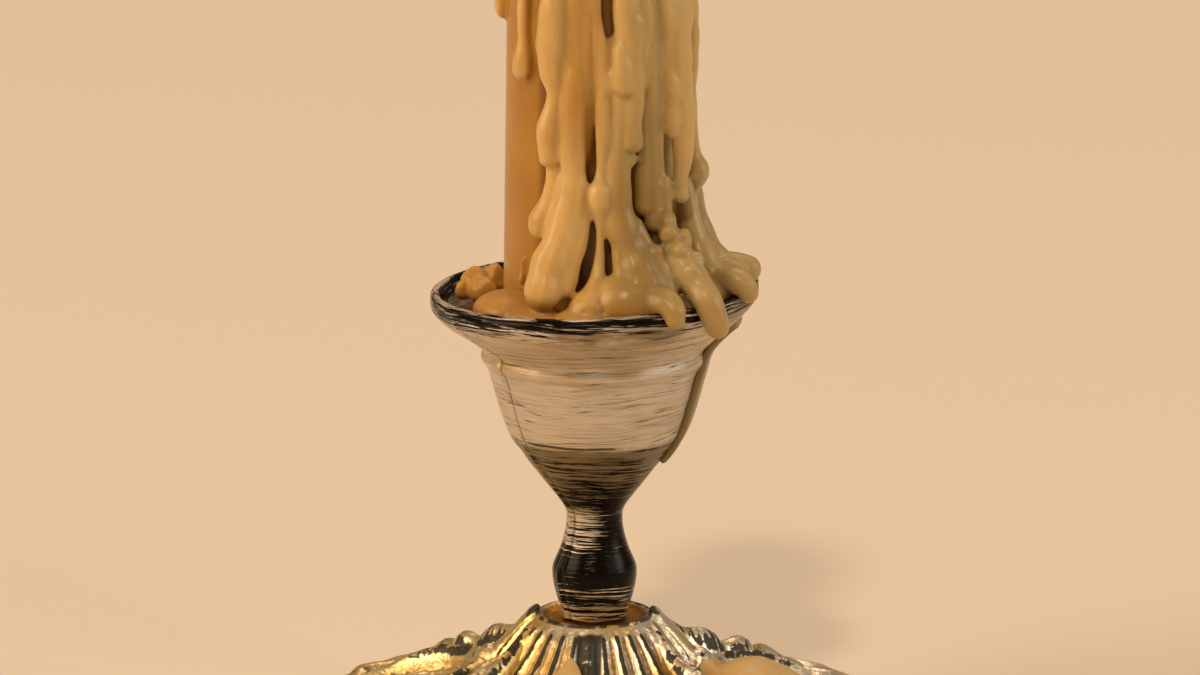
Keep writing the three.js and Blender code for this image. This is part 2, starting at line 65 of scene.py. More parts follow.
RIM_Z = 59.8
FOOT_Z = round(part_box("cup_and_stem")[0].z / MM, 3)
RIM_SLOPE = math.tan(math.radians(2.4))
BEND_FROM = RIM_Z - 10
BEND_FULL = RIM_Z - 2

CANDLE_R = 11.4
CANDLE_REF_Z = 65
CANDLE_TAPER = 0.015
CANDLE_BOTTOM_Z = RIM_Z - 19.2
CANDLE_TOP_Z = 105.6
MELT_DIP = 4.2
MELT_AZIMUTH = 60
MELT_REACH = 12
MELT_RIPPLE = 0.6
POOL_Z = 58.0
POOL_R = 18.9
POOL_FOOT_R = 12.1
POOL_FOOT_Z = RIM_Z - 9.2
POOL_RINGS = (0.7, 0.9, 1.1, 1.3, 1.6)
POOL_RIPPLE = 0.35
HOLLOW_DEPTH = 1.6
HOLLOW_AZIMUTH = -95

DISH_Z = 16.45
BASE_TURN = -4
BASE_R = 38.78
OUTLINE_OVAL = 1.6
OUTLINE_LOBES = 1.1
OUTLINE_SCALLOPS = 0.35
BASE_WALL = 1.9
FOOT_INNER_R = 32.9
SCREW_HOLE_R = 2.9
BOSS_R = 6.4
BOSS_Z = 12.6


# ------------------------------------------------------------------ helpers


def around(azimuth, distance, z):
    """The point at an azimuth, a distance from the axis and a height, in metres."""
    angle = math.radians(azimuth)
    return Vector((distance * math.sin(angle), -distance * math.cos(angle), z)) * MM


def azimuths(points):
    """The azimuth of each of an array of points, in degrees."""
    return np.degrees(np.arctan2(points[:, 0], -points[:, 1]))


def turned(x, y, degrees):
    """x and y turned about the axis, for numbers and arrays."""
    cos, sin = math.cos(math.radians(degrees)), math.sin(math.radians(degrees))
    return x * cos - y * sin, x * sin + y * cos


def wander(points, scale, shift=(0, 0, 0)):
    """Smooth noise at each of some points, as an array."""
    return np.array([noise.noise(Vector(p) * scale + Vector(shift)) for p in points])


def ease(value, low, high):
    """0 below low, 1 above high and a smooth step between, for numbers and arrays."""
    t = np.clip((value - low) / (high - low), 0.0, 1.0)
    return t * t * (3 - 2 * t)


def chain_through(rows, steps):
    """Points on the Catmull-Rom curve through rows of equal length."""
    rows = np.array(rows, dtype=float)
    ends = np.vstack([2 * rows[0] - rows[1], rows, 2 * rows[-1] - rows[-2]])
    made = []
    for i in range(1, len(ends) - 2):
        a, b, c, d = ends[i - 1 : i + 3]
        for k in range(steps):
            t = k / steps
            made.append(
                0.5
                * (
                    2 * b
                    + (c - a) * t
                    + (2 * a - 5 * b + 4 * c - d) * t * t
                    + (3 * b - a - 3 * c + d) * t**3
                )
            )
    made.append(rows[-1])
    return np.array(made)


def deselect():
    """Leaves edit mode and selects nothing."""
    if bpy.context.object and bpy.context.object.mode != "OBJECT":
        bpy.ops.object.mode_set(mode="OBJECT")
    bpy.ops.object.select_all(action="DESELECT")


def select(objects):
    """Selects some objects, the first of them active."""
    deselect()
    for item in objects:
        item.select_set(True)
    bpy.context.view_layer.objects.active = objects[0]


def name_piece(piece, name):
    piece.name = name
    piece.data.name = name
    return piece


def settle(piece):
    """Puts the place, turn and size of an object into its mesh."""
    select([piece])
    bpy.ops.object.transform_apply(location=True, rotation=True, scale=True)


def join(pieces, name):
    """Joins pieces into one at the origin."""
    select(pieces)
    if len(pieces) > 1:
        bpy.ops.object.join()
    joined = bpy.context.object
    settle(joined)
    return name_piece(joined, name)


def finish_modifier(piece, kind, **settings):
    """Adds a modifier, sets it and applies it."""
    select([piece])
    modifier = piece.modifiers.new(kind.title(), kind)
    for key, value in settings.items():
        setattr(modifier, key, value)
    bpy.ops.object.modifier_apply(modifier=modifier.name)


def remelt(piece, voxel, steps):
    """Makes one skin of all that overlaps, and smooths it."""
    finish_modifier(piece, "REMESH", mode="VOXEL", voxel_size=voxel, use_smooth_shade=True)
    finish_modifier(piece, "SMOOTH", factor=0.5, iterations=steps)


def get_points(piece):
    points = np.empty(len(piece.data.vertices) * 3)
    piece.data.vertices.foreach_get("co", points)
    return points.reshape(-1, 3)


def set_points(piece, points):
    piece.data.vertices.foreach_set("co", points.ravel())
    piece.data.update()


def face_outwards(piece):
    """Merges doubled points and turns the faces outwards."""
    select([piece])
    bpy.ops.object.mode_set(mode="EDIT")
    bpy.ops.mesh.select_all(action="SELECT")
    bpy.ops.mesh.remove_doubles(threshold=0.000002)
    bpy.ops.mesh.normals_make_consistent(inside=False)
    bpy.ops.object.mode_set(mode="OBJECT")


def shade(piece, angle):
    select([piece])
    bpy.ops.object.shade_smooth_by_angle(angle=math.radians(angle))


def spin_profile(profile, segments, name):
    """Turns [radius, z] pairs about Z into a mesh."""
    profile = [(r * MM, z * MM) for r, z in profile]
    deselect()
    bpy.ops.mesh.primitive_plane_add(size=MM)
    piece = bpy.context.object
    bpy.ops.object.mode_set(mode="EDIT")
    bpy.ops.mesh.select_mode(type="VERT")
    bpy.ops.mesh.select_all(action="SELECT")
    bpy.ops.mesh.merge(type="CENTER")
    bpy.ops.transform.translate(value=(profile[0][0], 0, profile[0][1]))
    for before, after in zip(profile[:-1], profile[1:]):
        step = (after[0] - before[0], 0, after[1] - before[1])
        bpy.ops.mesh.extrude_region_move(TRANSFORM_OT_translate={"value": step})
    bpy.ops.mesh.select_all(action="SELECT")
    bpy.ops.mesh.spin(
        steps=segments,
        angle=math.tau,
        center=(0, 0, 0),
        axis=(0, 0, 1),
        use_auto_merge=True,
    )
    bpy.ops.object.mode_set(mode="OBJECT")
    face_outwards(piece)
    return name_piece(piece, name)


def add_tube(rows, thickness):
    """A curve with a round section through [x, y, z, share of the thickness] rows."""
    deselect()
    bpy.ops.curve.primitive_nurbs_path_add()
    tube = bpy.context.object
    tube.data.splines.clear()
    spline = tube.data.splines.new("POLY")
    spline.points.add(len(rows) - 1)
    for point, (x, y, z, share) in zip(spline.points, rows):
        point.co = (x * MM, y * MM, z * MM, 1.0)
        point.radius = share
    tube.data.dimensions = "3D"
    tube.data.bevel_depth = thickness * MM
    tube.data.bevel_resolution = 3
    tube.data.use_fill_caps = True
    return tube


def melt(tubes):
    """Makes meshes of some curves."""
    select(tubes)
    bpy.ops.object.convert(target="MESH")


def bend_rim(points):
    """Raises the bent rim towards +X in an array of points, in metres."""
    share = ease(points[:, 2], BEND_FROM * MM, BEND_FULL * MM)
    points[:, 2] += points[:, 0] * RIM_SLOPE * share
    return points


# ------------------------------------------------------------------ shader maths


def arithmetic(operation):
    """A Python operator and its reflected form, which add a Math node."""

    def plain(self, other):
        return self.finish.math(operation, self, other)

    def reflected(self, other):
        return self.finish.math(operation, other, self)

    return plain, reflected


class Value:
    """An output of a shader node. Arithmetic on it adds Math nodes."""

    def __init__(self, finish, socket):
        self.finish = finish
        self.socket = socket

    def __getitem__(self, name):
        return Value(self.finish, self.socket.node.outputs[name])

    def __abs__(self):
        return self.finish.math("ABSOLUTE", self)

    __add__, __radd__ = arithmetic("ADD")
    __sub__, __rsub__ = arithmetic("SUBTRACT")
    __mul__, __rmul__ = arithmetic("MULTIPLY")
    __truediv__, __rtruediv__ = arithmetic("DIVIDE")
    __pow__, __rpow__ = arithmetic("POWER")


class Finish:
    """A material being made."""

    def __init__(self, name):
        self.material = bpy.data.materials.new(name)
        self.material.use_nodes = True
        self.tree = self.material.node_tree
        self.tree.nodes.clear()

    def node(self, kind, settings=None, values=None, output=0):
        """Adds a node: its settings first, then the values or links of its sockets."""
        made = self.tree.nodes.new(kind)
        for key, value in (settings or {}).items():
            if key == "stops":
                self.set_stops(made.color_ramp, value)
            else:
                setattr(made, key, value)
        pairs = enumerate(values) if isinstance(values, list) else (values or {}).items()
        for key, value in pairs:
            if isinstance(value, Value):
                self.tree.links.new(value.socket, made.inputs[key])
            else:
                made.inputs[key].default_value = value
        if not made.outputs:
            return made
        return Value(self, made.outputs[output])

    @staticmethod
    def set_stops(ramp, stops):
        while len(ramp.elements) < len(stops):
            ramp.elements.new(1.0)
        for element, (place, level) in zip(ramp.elements, stops):
            element.position = place
            element.color = (level, level, level, 1.0)

    def math(self, operation, *values):
        return self.node("ShaderNodeMath", {"operation": operation}, list(values))

    def place(self):
        return self.node("ShaderNodeTexCoord", output="Object")

    def parts(self, vector, axes):
        split = self.node("ShaderNodeSeparateXYZ", values=[vector])
        return [split[axis] for axis in axes]

    def stretch(self, vector, scale):
        return self.node("ShaderNodeMapping", values={"Vector": vector, "Scale": scale})

    def clouds(self, vector, scale, detail, roughness):
        values = {"Vector": vector, "Scale": scale, "Detail": detail, "Roughness": roughness}
        return self.node("ShaderNodeTexNoise", values=values)

    def attribute(self, name):
        return self.node("ShaderNodeAttribute", {"attribute_name": name}, output="Fac")

    def step(self, value, low, high):
        """0 below low, 1 above high, smooth between; low may be above high."""
        return self.node(
            "ShaderNodeMapRange",
            {"interpolation_type": "SMOOTHSTEP"},
            {"Value": value, "From Min": low, "From Max": high},
        )

    def step_mm(self, value, low, high):
        """A step of a value in metres between two millimetre marks."""
        return self.step(value, low * MM, high * MM)

    def levels(self, value, stops):
        return self.node("ShaderNodeValToRGB", {"stops": stops}, [value])

    def mix(self, factor, first, second):
        return self.node(
            "ShaderNodeMix",
            {"data_type": "RGBA"},
            {0: factor, 6: colour(first), 7: colour(second)},
            output=2,
        )

    def near(self, vector, point, low, high):
        """1 within low millimetres of a point given in metres, 0 beyond high."""
        away = self.node(
            "ShaderNodeVectorMath", {"operation": "DISTANCE"}, [vector, tuple(point)], output=1
        )
        return self.step_mm(away, high, low)

    def bump(self, height, distance, strength=1.0, normal=None):
        values = {"Height": height, "Distance": distance, "Strength": strength}
        if normal:
            values["Normal"] = normal
        return self.node("ShaderNodeBump", values=values)

    def surface(self, values):
        shader = self.node("ShaderNodeBsdfPrincipled", values=values)
        self.node("ShaderNodeOutputMaterial", values={"Surface": shader})
        return self.material


def colour(value):
    return value if isinstance(value, Value) else (*value[:3], 1.0)


def dress(piece, material):
    piece.data.materials.clear()
    piece.data.materials.append(material)


# ------------------------------------------------------------------ wax

# Runs of wax: each is a list of [azimuth, distance, z, radius].
RUNS = {
    "edge_tear": [
        [-92, 9.8, 103.3, 1.2], [-92, 10.8, 99.5, 1.25], [-92, 10.95, 96, 1.3],
        [-92, 10.95, 95, 1.25],
    ],
    "thin_tear": [
        [-46, 9.8, 102.3, 1.0], [-49, 11.1, 98.6, 0.85], [-50, 11.2, 94.3, 0.8],
        [-49, 11.3, 91.8, 0.95], [-49, 11.55, 89.6, 1.3], [-49, 11.6, 88.7, 1.3],
    ],
    "left_broad": [
        [-22, 9.8, 101.5, 1.8], [-24, 11.5, 99, 1.75], [-26, 11.7, 93.8, 1.85],
        [-27, 11.75, 89.9, 1.75], [-24, 11.7, 86.3, 1.1], [-26, 12.1, 82.9, 1.45],
        [-27, 12.5, 80.3, 1.45], [-26, 12.7, 78.4, 1.4],
    ],
    "left_sheet": [
        [-16, 9.9, 101.1, 1.6], [-16, 10.9, 98, 1.4], [-16, 10.9, 91, 1.3],
        [-17, 11.0, 87, 1.2],
    ],
    "under_left": [
        [-25, 11.7, 78.0, 1.0], [-25, 11.8, 74.6, 1.1], [-28, 12.0, 72.4, 1.25],
        [-31, 12.3, 70.5, 1.65], [-31.5, 12.4, 69.5, 1.6],
    ],
    "shoulder": [
        [-9, 9.5, 100.9, 1.9], [-10, 10.6, 97.6, 2.0], [-10, 10.6, 91, 1.9],
        [-11, 11.1, 86, 1.6],
    ],
    "shoulder_edge": [
        [-4, 9.9, 100.9, 1.5], [-4, 11.1, 97, 1.35], [-5, 11.2, 90, 1.2], [-6, 11.2, 85, 0.9],
    ],
    "long_left": [
        [-10, 10.3, 94.0, 1.2], [-11, 11.1, 89.5, 1.55], [-12, 11.8, 84.9, 1.55],
        [-12.5, 12.0, 79.8, 1.65], [-12, 12.4, 74.7, 1.95], [-15, 13.0, 70.9, 2.2],
        [-18, 13.8, 67.8, 2.35], [-22, 14.8, 64.7, 2.5], [-23, 15.9, 62.1, 2.5],
    ],
    "long_left_heel": [
        [-8, 12.1, 74.0, 1.3], [-9, 12.8, 69.5, 1.6], [-13, 13.9, 65.5, 1.7],
        [-15, 14.6, 62.6, 1.5],
    ],
    "beads": [
        [0, 9.9, 101.7, 0.9], [0, 11.5, 99.4, 0.85], [1.5, 11.7, 95.3, 0.8],
        [4, 11.9, 91.5, 0.9], [4.5, 12.1, 87.0, 0.85], [4.5, 12.4, 82.5, 0.95],
        [4.5, 12.4, 80.0, 0.85], [4, 12.3, 77.8, 0.62], [3.5, 12.5, 75.8, 0.8],
        [3, 12.9, 74.4, 1.5], [3, 13.0, 73.0, 1.65], [3, 12.9, 71.4, 0.95],
        [3, 12.9, 69.8, 0.55], [3, 13.1, 67.2, 0.6], [2, 13.6, 64.4, 0.85],
        [0, 14.6, 61.8, 1.6], [-3, 15.8, 59.8, 2.6],
    ],
    "mid_right": [
        [18, 9.8, 100.9, 1.7], [18.5, 11.6, 98.6, 1.6], [19, 11.9, 95.5, 1.7],
        [20.5, 12.2, 92.2, 1.8], [21.5, 12.5, 89.0, 1.65], [22, 12.8, 86.0, 1.3],
        [21, 13.0, 83.1, 1.25], [21, 13.1, 80.4, 1.35],
    ],
    "mid_right_edge": [
        [28, 9.9, 100.9, 1.6], [29, 11.6, 98.5, 1.4], [30, 11.9, 94.8, 1.5],
        [28, 12.1, 91.6, 1.1], [26, 12.2, 87.5, 1.1],
    ],
    "mid_tip": [
        [23, 12.7, 95.4, 1.0], [23, 13.2, 92.9, 0.95],
    ],
    "mid_drop": [
        [15, 12.8, 92.0, 1.2], [15, 13.4, 89.6, 1.3], [15, 13.5, 87.7, 1.3],
    ],
    "main": [
        [17, 12.0, 88.0, 1.4], [15, 12.1, 83.6, 1.4], [14, 12.2, 78.5, 1.65],
        [13, 12.7, 73.5, 1.7], [15, 13.2, 69.7, 2.0], [19, 13.8, 66.5, 2.5],
        [22, 14.8, 63.4, 3.0], [24, 16.0, 61.0, 3.2],
    ],
    "main_fold": [
        [12, 13.2, 69.5, 1.0], [13.5, 14.3, 65.6, 1.3], [14, 15.7, 62.0, 1.7],
    ],
    "main_brow": [
        [22, 13.4, 70.0, 1.0], [27, 14.4, 66.8, 1.3], [31, 15.8, 64.2, 1.5],
        [32, 17.0, 62.0, 1.5],
    ],
    "rim_drop": [
        [24, 17.0, 61.0, 2.2], [27, 19.2, 61.0, 1.9], [28, 20.6, 60.3, 1.6],
        [28, 21.0, 59.5, 1.35],
    ],
    "shade_run": [
        [36, 9.9, 100.3, 1.3], [36, 11.5, 96, 1.1], [36, 11.6, 87, 1.05],
        [36, 11.6, 81.8, 0.95], [36, 11.8, 76.7, 0.95], [36, 12.3, 71.6, 1.05],
        [35, 12.6, 69.9, 1.2],
    ],
    "right_run": [
        [52, 9.8, 100.3, 2.2], [55, 11.8, 98.0, 2.2], [54, 12.2, 95.0, 2.2],
        [54, 12.4, 90.5, 1.95], [55, 12.8, 86.0, 1.7], [56, 13.0, 81.4, 1.6],
        [55, 13.2, 77.6, 1.2], [53, 13.2, 75.1, 0.9], [52, 13.4, 73.0, 1.2],
    ],
    "right_lumps": [
        [42, 12.2, 97.8, 1.2], [44, 12.6, 95.4, 1.4], [46, 12.3, 92.6, 1.0],
        [47, 12.2, 89.6, 0.8], [48, 12.7, 86.6, 1.35], [49, 12.5, 84.6, 0.95],
        [48, 12.7, 82.6, 1.25], [49, 12.5, 81.0, 0.8],
    ],
    "edge_run": [
        [85, 9.8, 100.5, 1.4], [86, 11.3, 97, 1.25], [86, 11.5, 92, 1.45], [86, 11.4, 84, 1.15],
        [86, 11.8, 77.4, 1.4], [86, 12.1, 74.5, 2.0], [86, 11.7, 71.4, 1.1],
        [84, 12.2, 67.5, 1.3], [80, 13.6, 64.6, 1.7], [76, 16.0, 63.0, 1.9],
        [72, 18.4, 62.6, 1.7],
    ],
    "edge_foot": [
        [70, 11.6, 73.5, 1.2], [68, 12.6, 69.0, 1.5], [66, 14.4, 65.0, 1.8],
        [64, 16.4, 62.6, 1.7], [63, 18.4, 61.4, 1.5],
    ],
    "lobe_back": [
        [76, 15.0, 62.8, 2.0], [80, 17.4, 62.8, 1.9], [81, 19.2, 62.4, 1.75],
    ],
    "lobe_front": [
        [64, 17.2, 62.4, 1.6], [62, 19.4, 62.3, 1.6], [62, 20.9, 61.7, 1.5],
        [62, 21.5, 60.9, 1.3],
    ],
    "tongue": [
        [42, 12.4, 71.6, 1.1], [42, 13.2, 68.8, 1.6], [41, 14.7, 66.6, 1.9],
        [41, 16.8, 64.6, 2.1], [42, 18.8, 62.9, 2.0], [42, 20.8, 60.9, 1.85],
        [43, 21.7, 58.7, 1.75], [44, 21.7, 57.8, 1.65],
    ],
    "shade_rib_left": [
        [31, 11.2, 90.0, 0.9], [31, 11.3, 80, 1.1], [30, 11.7, 72, 1.2],
    ],
    "shade_rib_right": [
        [41, 11.2, 99.0, 1.0], [41, 11.4, 90, 1.0], [41, 11.4, 80, 1.0], [41, 11.8, 73, 1.0],
    ],
    "shaft_drip": [
        [-50.5, 11.25, 64.6, 0.3], [-50.5, 11.35, 63.2, 0.34], [-50.5, 11.5, 62.0, 0.5],
    ],
    "orange_run": [
        [44, 12.2, 74.6, 1.0], [43, 12.4, 72.5, 1.15], [43, 13.0, 69.6, 0.9],
    ],
    "back_run_a": [
        [118, 9.8, 101.5, 1.7], [120, 11.3, 98, 1.4], [121, 11.8, 92, 1.8],
        [120, 11.9, 82, 1.3], [122, 12.5, 74, 1.9], [122, 12.6, 71.5, 1.5],
    ],
    "back_run_b": [
        [148, 9.8, 102.3, 1.5], [150, 11.2, 98.5, 1.2], [149, 11.4, 92, 1.5],
        [150, 11.6, 88.5, 1.3],
    ],
    "back_run_c": [
        [104, 9.9, 100.5, 1.4], [105, 11.3, 97, 1.3], [104, 11.6, 84, 1.2],
        [103, 12.2, 72, 1.5], [104, 13.6, 65, 2.0], [106, 15.6, 61.6, 2.2],
    ],
    "back_tear": [
        [-150, 9.9, 103.5, 1.1], [-151, 11.1, 99, 0.8], [-150, 11.2, 93, 0.8],
        [-151, 11.4, 90.2, 1.25],
    ],
}

# The flat run down the outside of the cup: [azimuth, height from the rim], and its strands.
OUTSIDE_RUN = [
    [84, -4.9], [82, -6.6], [80, -8.4], [78, -10.6], [78, -13.0], [78, -15.6], [79, -18.0],
    [80, -20.4], [80, -22.2],
]
OUTSIDE_STRANDS = (-5.0, -1.7, 1.7, 5.0)
OUTSIDE_RUN_R = 0.6
OUTSIDE_RUN_PROUD = 0.3

# Rounded lumps: [azimuth, distance, z, radial, tangential and upward half sizes].
LUMPS = [
    [-50, 13.2, 58.3, 5.0, 5.4, 2.6], [-28, 15.4, 58.2, 2.8, 4.2, 1.8],
    [-4, 16.6, 58.4, 2.8, 4.2, 2.0], [20, 14.8, 60.0, 4.6, 5.8, 4.8],
    [-12, 11.1, 92.0, 1.0, 3.4, 10.5], [-9, 11.1, 84.5, 1.1, 2.1, 9.0],
    [-16, 13.7, 66.4, 1.7, 2.3, 4.4], [38, 15.2, 58.8, 3.8, 4.2, 2.6],
    [58, 15.0, 59.4, 4.2, 5.0, 3.0], [82, 14.2, 59.6, 4.4, 5.0, 3.0],
    [110, 14.2, 58.8, 3.6, 4.8, 2.4], [140, 13.4, 58.0, 3.4, 5.0, 1.8],
    [11, 11.7, 90.2, 0.9, 1.4, 3.6], [9, 12.5, 88.0, 0.9, 1.6, 1.7],
    [19, 12.6, 78.2, 0.7, 1.3, 1.2], [48, 12.4, 97.5, 1.6, 1.7, 1.6],
    [70, 17.2, 61.0, 1.9, 2.2, 1.7],
]

# Crumbs of broken wax inside the rim and between the runs: [azimuth, distance, z, radius].
CRUMBS = [
    [-104, 15.2, 59.2, 2.1], [-110, 13.8, 59.2, 2.1], [-96, 14.2, 58.7, 1.8],
    [-97, 16.8, 58.6, 1.1], [37, 17.2, 60.8, 1.0], [36, 18.3, 60.0, 0.8], [43, 12.7, 74.9, 0.9],
    [39, 12.6, 74.4, 0.65], [40, 14.4, 70.2, 1.1], [37, 15.3, 68.8, 1.2], [45, 15.8, 68.1, 1.1],
    [39, 17.0, 67.0, 1.1], [44, 18.2, 65.9, 1.1], [40, 19.2, 64.7, 0.9], [30, 15.6, 66.6, 1.0],
    [17, 15.4, 65.4, 0.9], [73, 14.8, 65.2, 1.2], [70, 17.4, 63.4, 1.0],
]

# The melted end of the candle, from its lip inwards, as [radius from the lip, height].
CRATER = [
    [0.0, -0.7], [-0.3, -0.15], [-0.9, 0.0], [-1.6, -0.3], [-2.6, -1.4], [-4.4, -3.0],
    [-7.0, -3.8],
]
SOCKET_FIT = 0.35
SOCKET_ROWS = 5
SHAFT_FROM_Z = 53.0
SHAFT_SEGMENTS = 128

RUN_STEPS = 6
RUN_WAVER = 0.2
WAVER_SCALE = 0.36
ROUND_END = ((0.35, 0.94), (0.65, 0.76), (0.86, 0.5), (0.99, 0.12))

CRUMB_ROUGHNESS = 0.4
CRUMB_SCALE = 620


def add_run(points, swell=0.0, lift=0.0):
    """A round-ended tube of changing radius through [azimuth, distance, z, radius] points."""
    rows = [[*(around(a, d + lift, z) / MM), r + swell] for a, d, z, r in points]
    chain = chain_through(rows, RUN_STEPS)
    chain[:, 3] *= 1 + RUN_WAVER * wander(chain[:, :3], WAVER_SCALE)
    for _ in range(2):
        chain = chain[::-1]
        centre, radius = chain[-1][:3], chain[-1][3]
        ahead = centre - chain[-2][:3]
        ahead /= np.linalg.norm(ahead)
        caps = [[*(centre + ahead * radius * a), radius * b] for a, b in ROUND_END]
        chain = np.vstack([chain, caps])
    return add_tube(chain, 1.0)


def add_lump(azimuth, distance, z, radial, tangential, upward):
    """A rounded swelling, turned to face away from the candle."""
    deselect()
    bpy.ops.mesh.primitive_uv_sphere_add(
        segments=28,
        ring_count=16,
        radius=MM,
        location=around(azimuth, distance, z),
        rotation=(0, 0, math.radians(azimuth)),
    )
    lump = bpy.context.object
    lump.scale = (tangential, radial, upward)
    return lump


def add_crumb(index, azimuth, distance, z, radius):
    """A knobbly crumb, each turned its own way."""
    deselect()
    bpy.ops.mesh.primitive_ico_sphere_add(
        subdivisions=3,
        radius=radius * MM,
        location=around(azimuth, distance, z),
        rotation=(index * 1.3, index * 0.7, index * 2.1),
    )
    crumb = bpy.context.object
    points = get_points(crumb)
    grown = 1 + CRUMB_ROUGHNESS * wander(points, CRUMB_SCALE, (index * 7.0, 0, 0))
    set_points(crumb, points * grown[:, None])
    return crumb


def cup_radius(depth):
    """The cup's outside radius at a height from its rim, for numbers and arrays."""
    rows = np.array(CUP_OUTSIDE[::-1])
    return np.interp(depth, rows[:, 1], rows[:, 0])


def candle_radius(z):
    return CANDLE_R - CANDLE_TAPER * (z - CANDLE_REF_Z)


def add_shaft():
    """The candle's shaft, narrowed in the socket, with a melted crater at the top."""
    sunk = [[0.0, CANDLE_BOTTOM_Z]]
    sunk += [[r - SOCKET_FIT, RIM_Z + z] for r, z in CUP_INSIDE[:SOCKET_ROWS:-1]]
    sides = [[candle_radius(z), z] for z in np.arange(SHAFT_FROM_Z, CANDLE_TOP_Z - 1, 3.0)]
    lip_r = candle_radius(CANDLE_TOP_Z)
    crater = [[lip_r + r, CANDLE_TOP_Z + z] for r, z in CRATER]
    profile = [*sunk, *sides, *crater, [0.0, CANDLE_TOP_Z + CRATER[-1][1] - 0.2]]
    shaft = spin_profile(profile, SHAFT_SEGMENTS, "candle_shaft")
    points = get_points(shaft)
    low = around(MELT_AZIMUTH, 1, 0) / MM
    towards = (points[:, 0] * low.x + points[:, 1] * low.y) / (lip_r * MM)
    share = ease(points[:, 2], (CANDLE_TOP_Z - MELT_REACH) * MM, CANDLE_TOP_Z * MM)
    ripple = wander(points * (1, 1, 0), 260)
    points[:, 2] -= MELT_DIP * MM * share * (0.5 + 0.5 * towards)
    points[:, 2] += MELT_RIPPLE * MM * share * (ripple - 0.5)
    set_points(shaft, points)
    return shaft


def add_pool():
    """The pool round the candle's foot, reaching a little way into the cup's wall."""
    deselect()
    bpy.ops.mesh.primitive_cone_add(
        vertices=120,
        radius1=POOL_FOOT_R * MM,
        radius2=POOL_R * MM,
        depth=(POOL_Z - POOL_FOOT_Z) * MM,
        location=(0, 0, (POOL_Z + POOL_FOOT_Z) / 2 * MM),
    )
    pool = bpy.context.object
    settle(pool)
    bpy.ops.object.mode_set(mode="EDIT")
    bpy.ops.mesh.select_mode(type="FACE")
    bpy.ops.object.mode_set(mode="OBJECT")
    for face in pool.data.polygons:
        face.select = face.normal.z > 0.9
    bpy.ops.object.mode_set(mode="EDIT")
    for ring in POOL_RINGS:
        bpy.ops.mesh.inset(thickness=ring * MM)
    bpy.ops.object.mode_set(mode="OBJECT")
    points = bend_rim(get_points(pool))
    away = np.abs((azimuths(points) - HOLLOW_AZIMUTH + 180) % 360 - 180)
    top = points[:, 2] > (POOL_Z - 1.5) * MM
    hollow = HOLLOW_DEPTH * (1 - ease(away, 25, 75))
    ripple = POOL_RIPPLE * wander(points * (1, 1, 0), 300)
    points[:, 2] += (ripple - hollow) * top * MM
    set_points(pool, points)
    return pool


# Tints over the thick wax and the wax in the cup, in the order that they are laid: the colour,
# its strength, and the fades that bound it, as [axis, none of it, all of it]. "proud" is how
# far the surface stands off the candle.
THICK_WAX_TINTS = [
    # painted shade on the thick wax low down, right of the middle
    ("painted_low_shade", 0.5, [("z", 82.0, 72.0), ("x", 0.6, 3.0), ("x", 11.0, 7.0)]),
    # greyer wax at the right edge: partly the wax's own tone, partly painted cool light from the
    # right
    ("grey_wax_and_cool_light", 0.8, [("x", 7.5, 11.5)]),
    # painted shade in the recesses between the runs, right of the middle
    ("painted_gap_shade", 0.3, [("proud", 1.9, 0.9), ("x", -1.0, 1.5)]),
    # painted light: the paler run colour laid back over the upper right runs, lit from the right
    ("run_colour", 0.5, [("x", 7.6, 9.4), ("z", 73.0, 80.0)]),
]
CUP_WAX_TINTS = [
    ("burnt_wax", 0.9, [("x", -11.4, -13.2), ("z", 58.9, 57.3)]),
    ("crumb_wax", 0.8, [("x", -10.4, -11.2), ("z", 58.7, 59.3), ("z", 64.0, 63.0)]),
    ("drain_wax", 1.0, [("z", 56.0, 54.5)]),
]

# Dark specks caught in the wax: [azimuth, distance, z], and the radii that each fades between.
WAX_SPECKS = [
    ((-1.2, 14.4, 62.6), 0.16, 0.24),
    ((-25, 13.3, 93.2), 0.14, 0.22),
]
SPECK_COLOUR = (0.02, 0.014, 0.01)


def lay_tints(finish, tone, tints, marks, sizes):
    """Lays a table of tints over a colour, in order."""
    for name, strength, fades in tints:
        share = strength
        for axis, none, full in fades:
            share = finish.step_mm(marks[axis], none, full) * share
        tone = finish.mix(share, tone, getattr(sizes, name))
    return tone


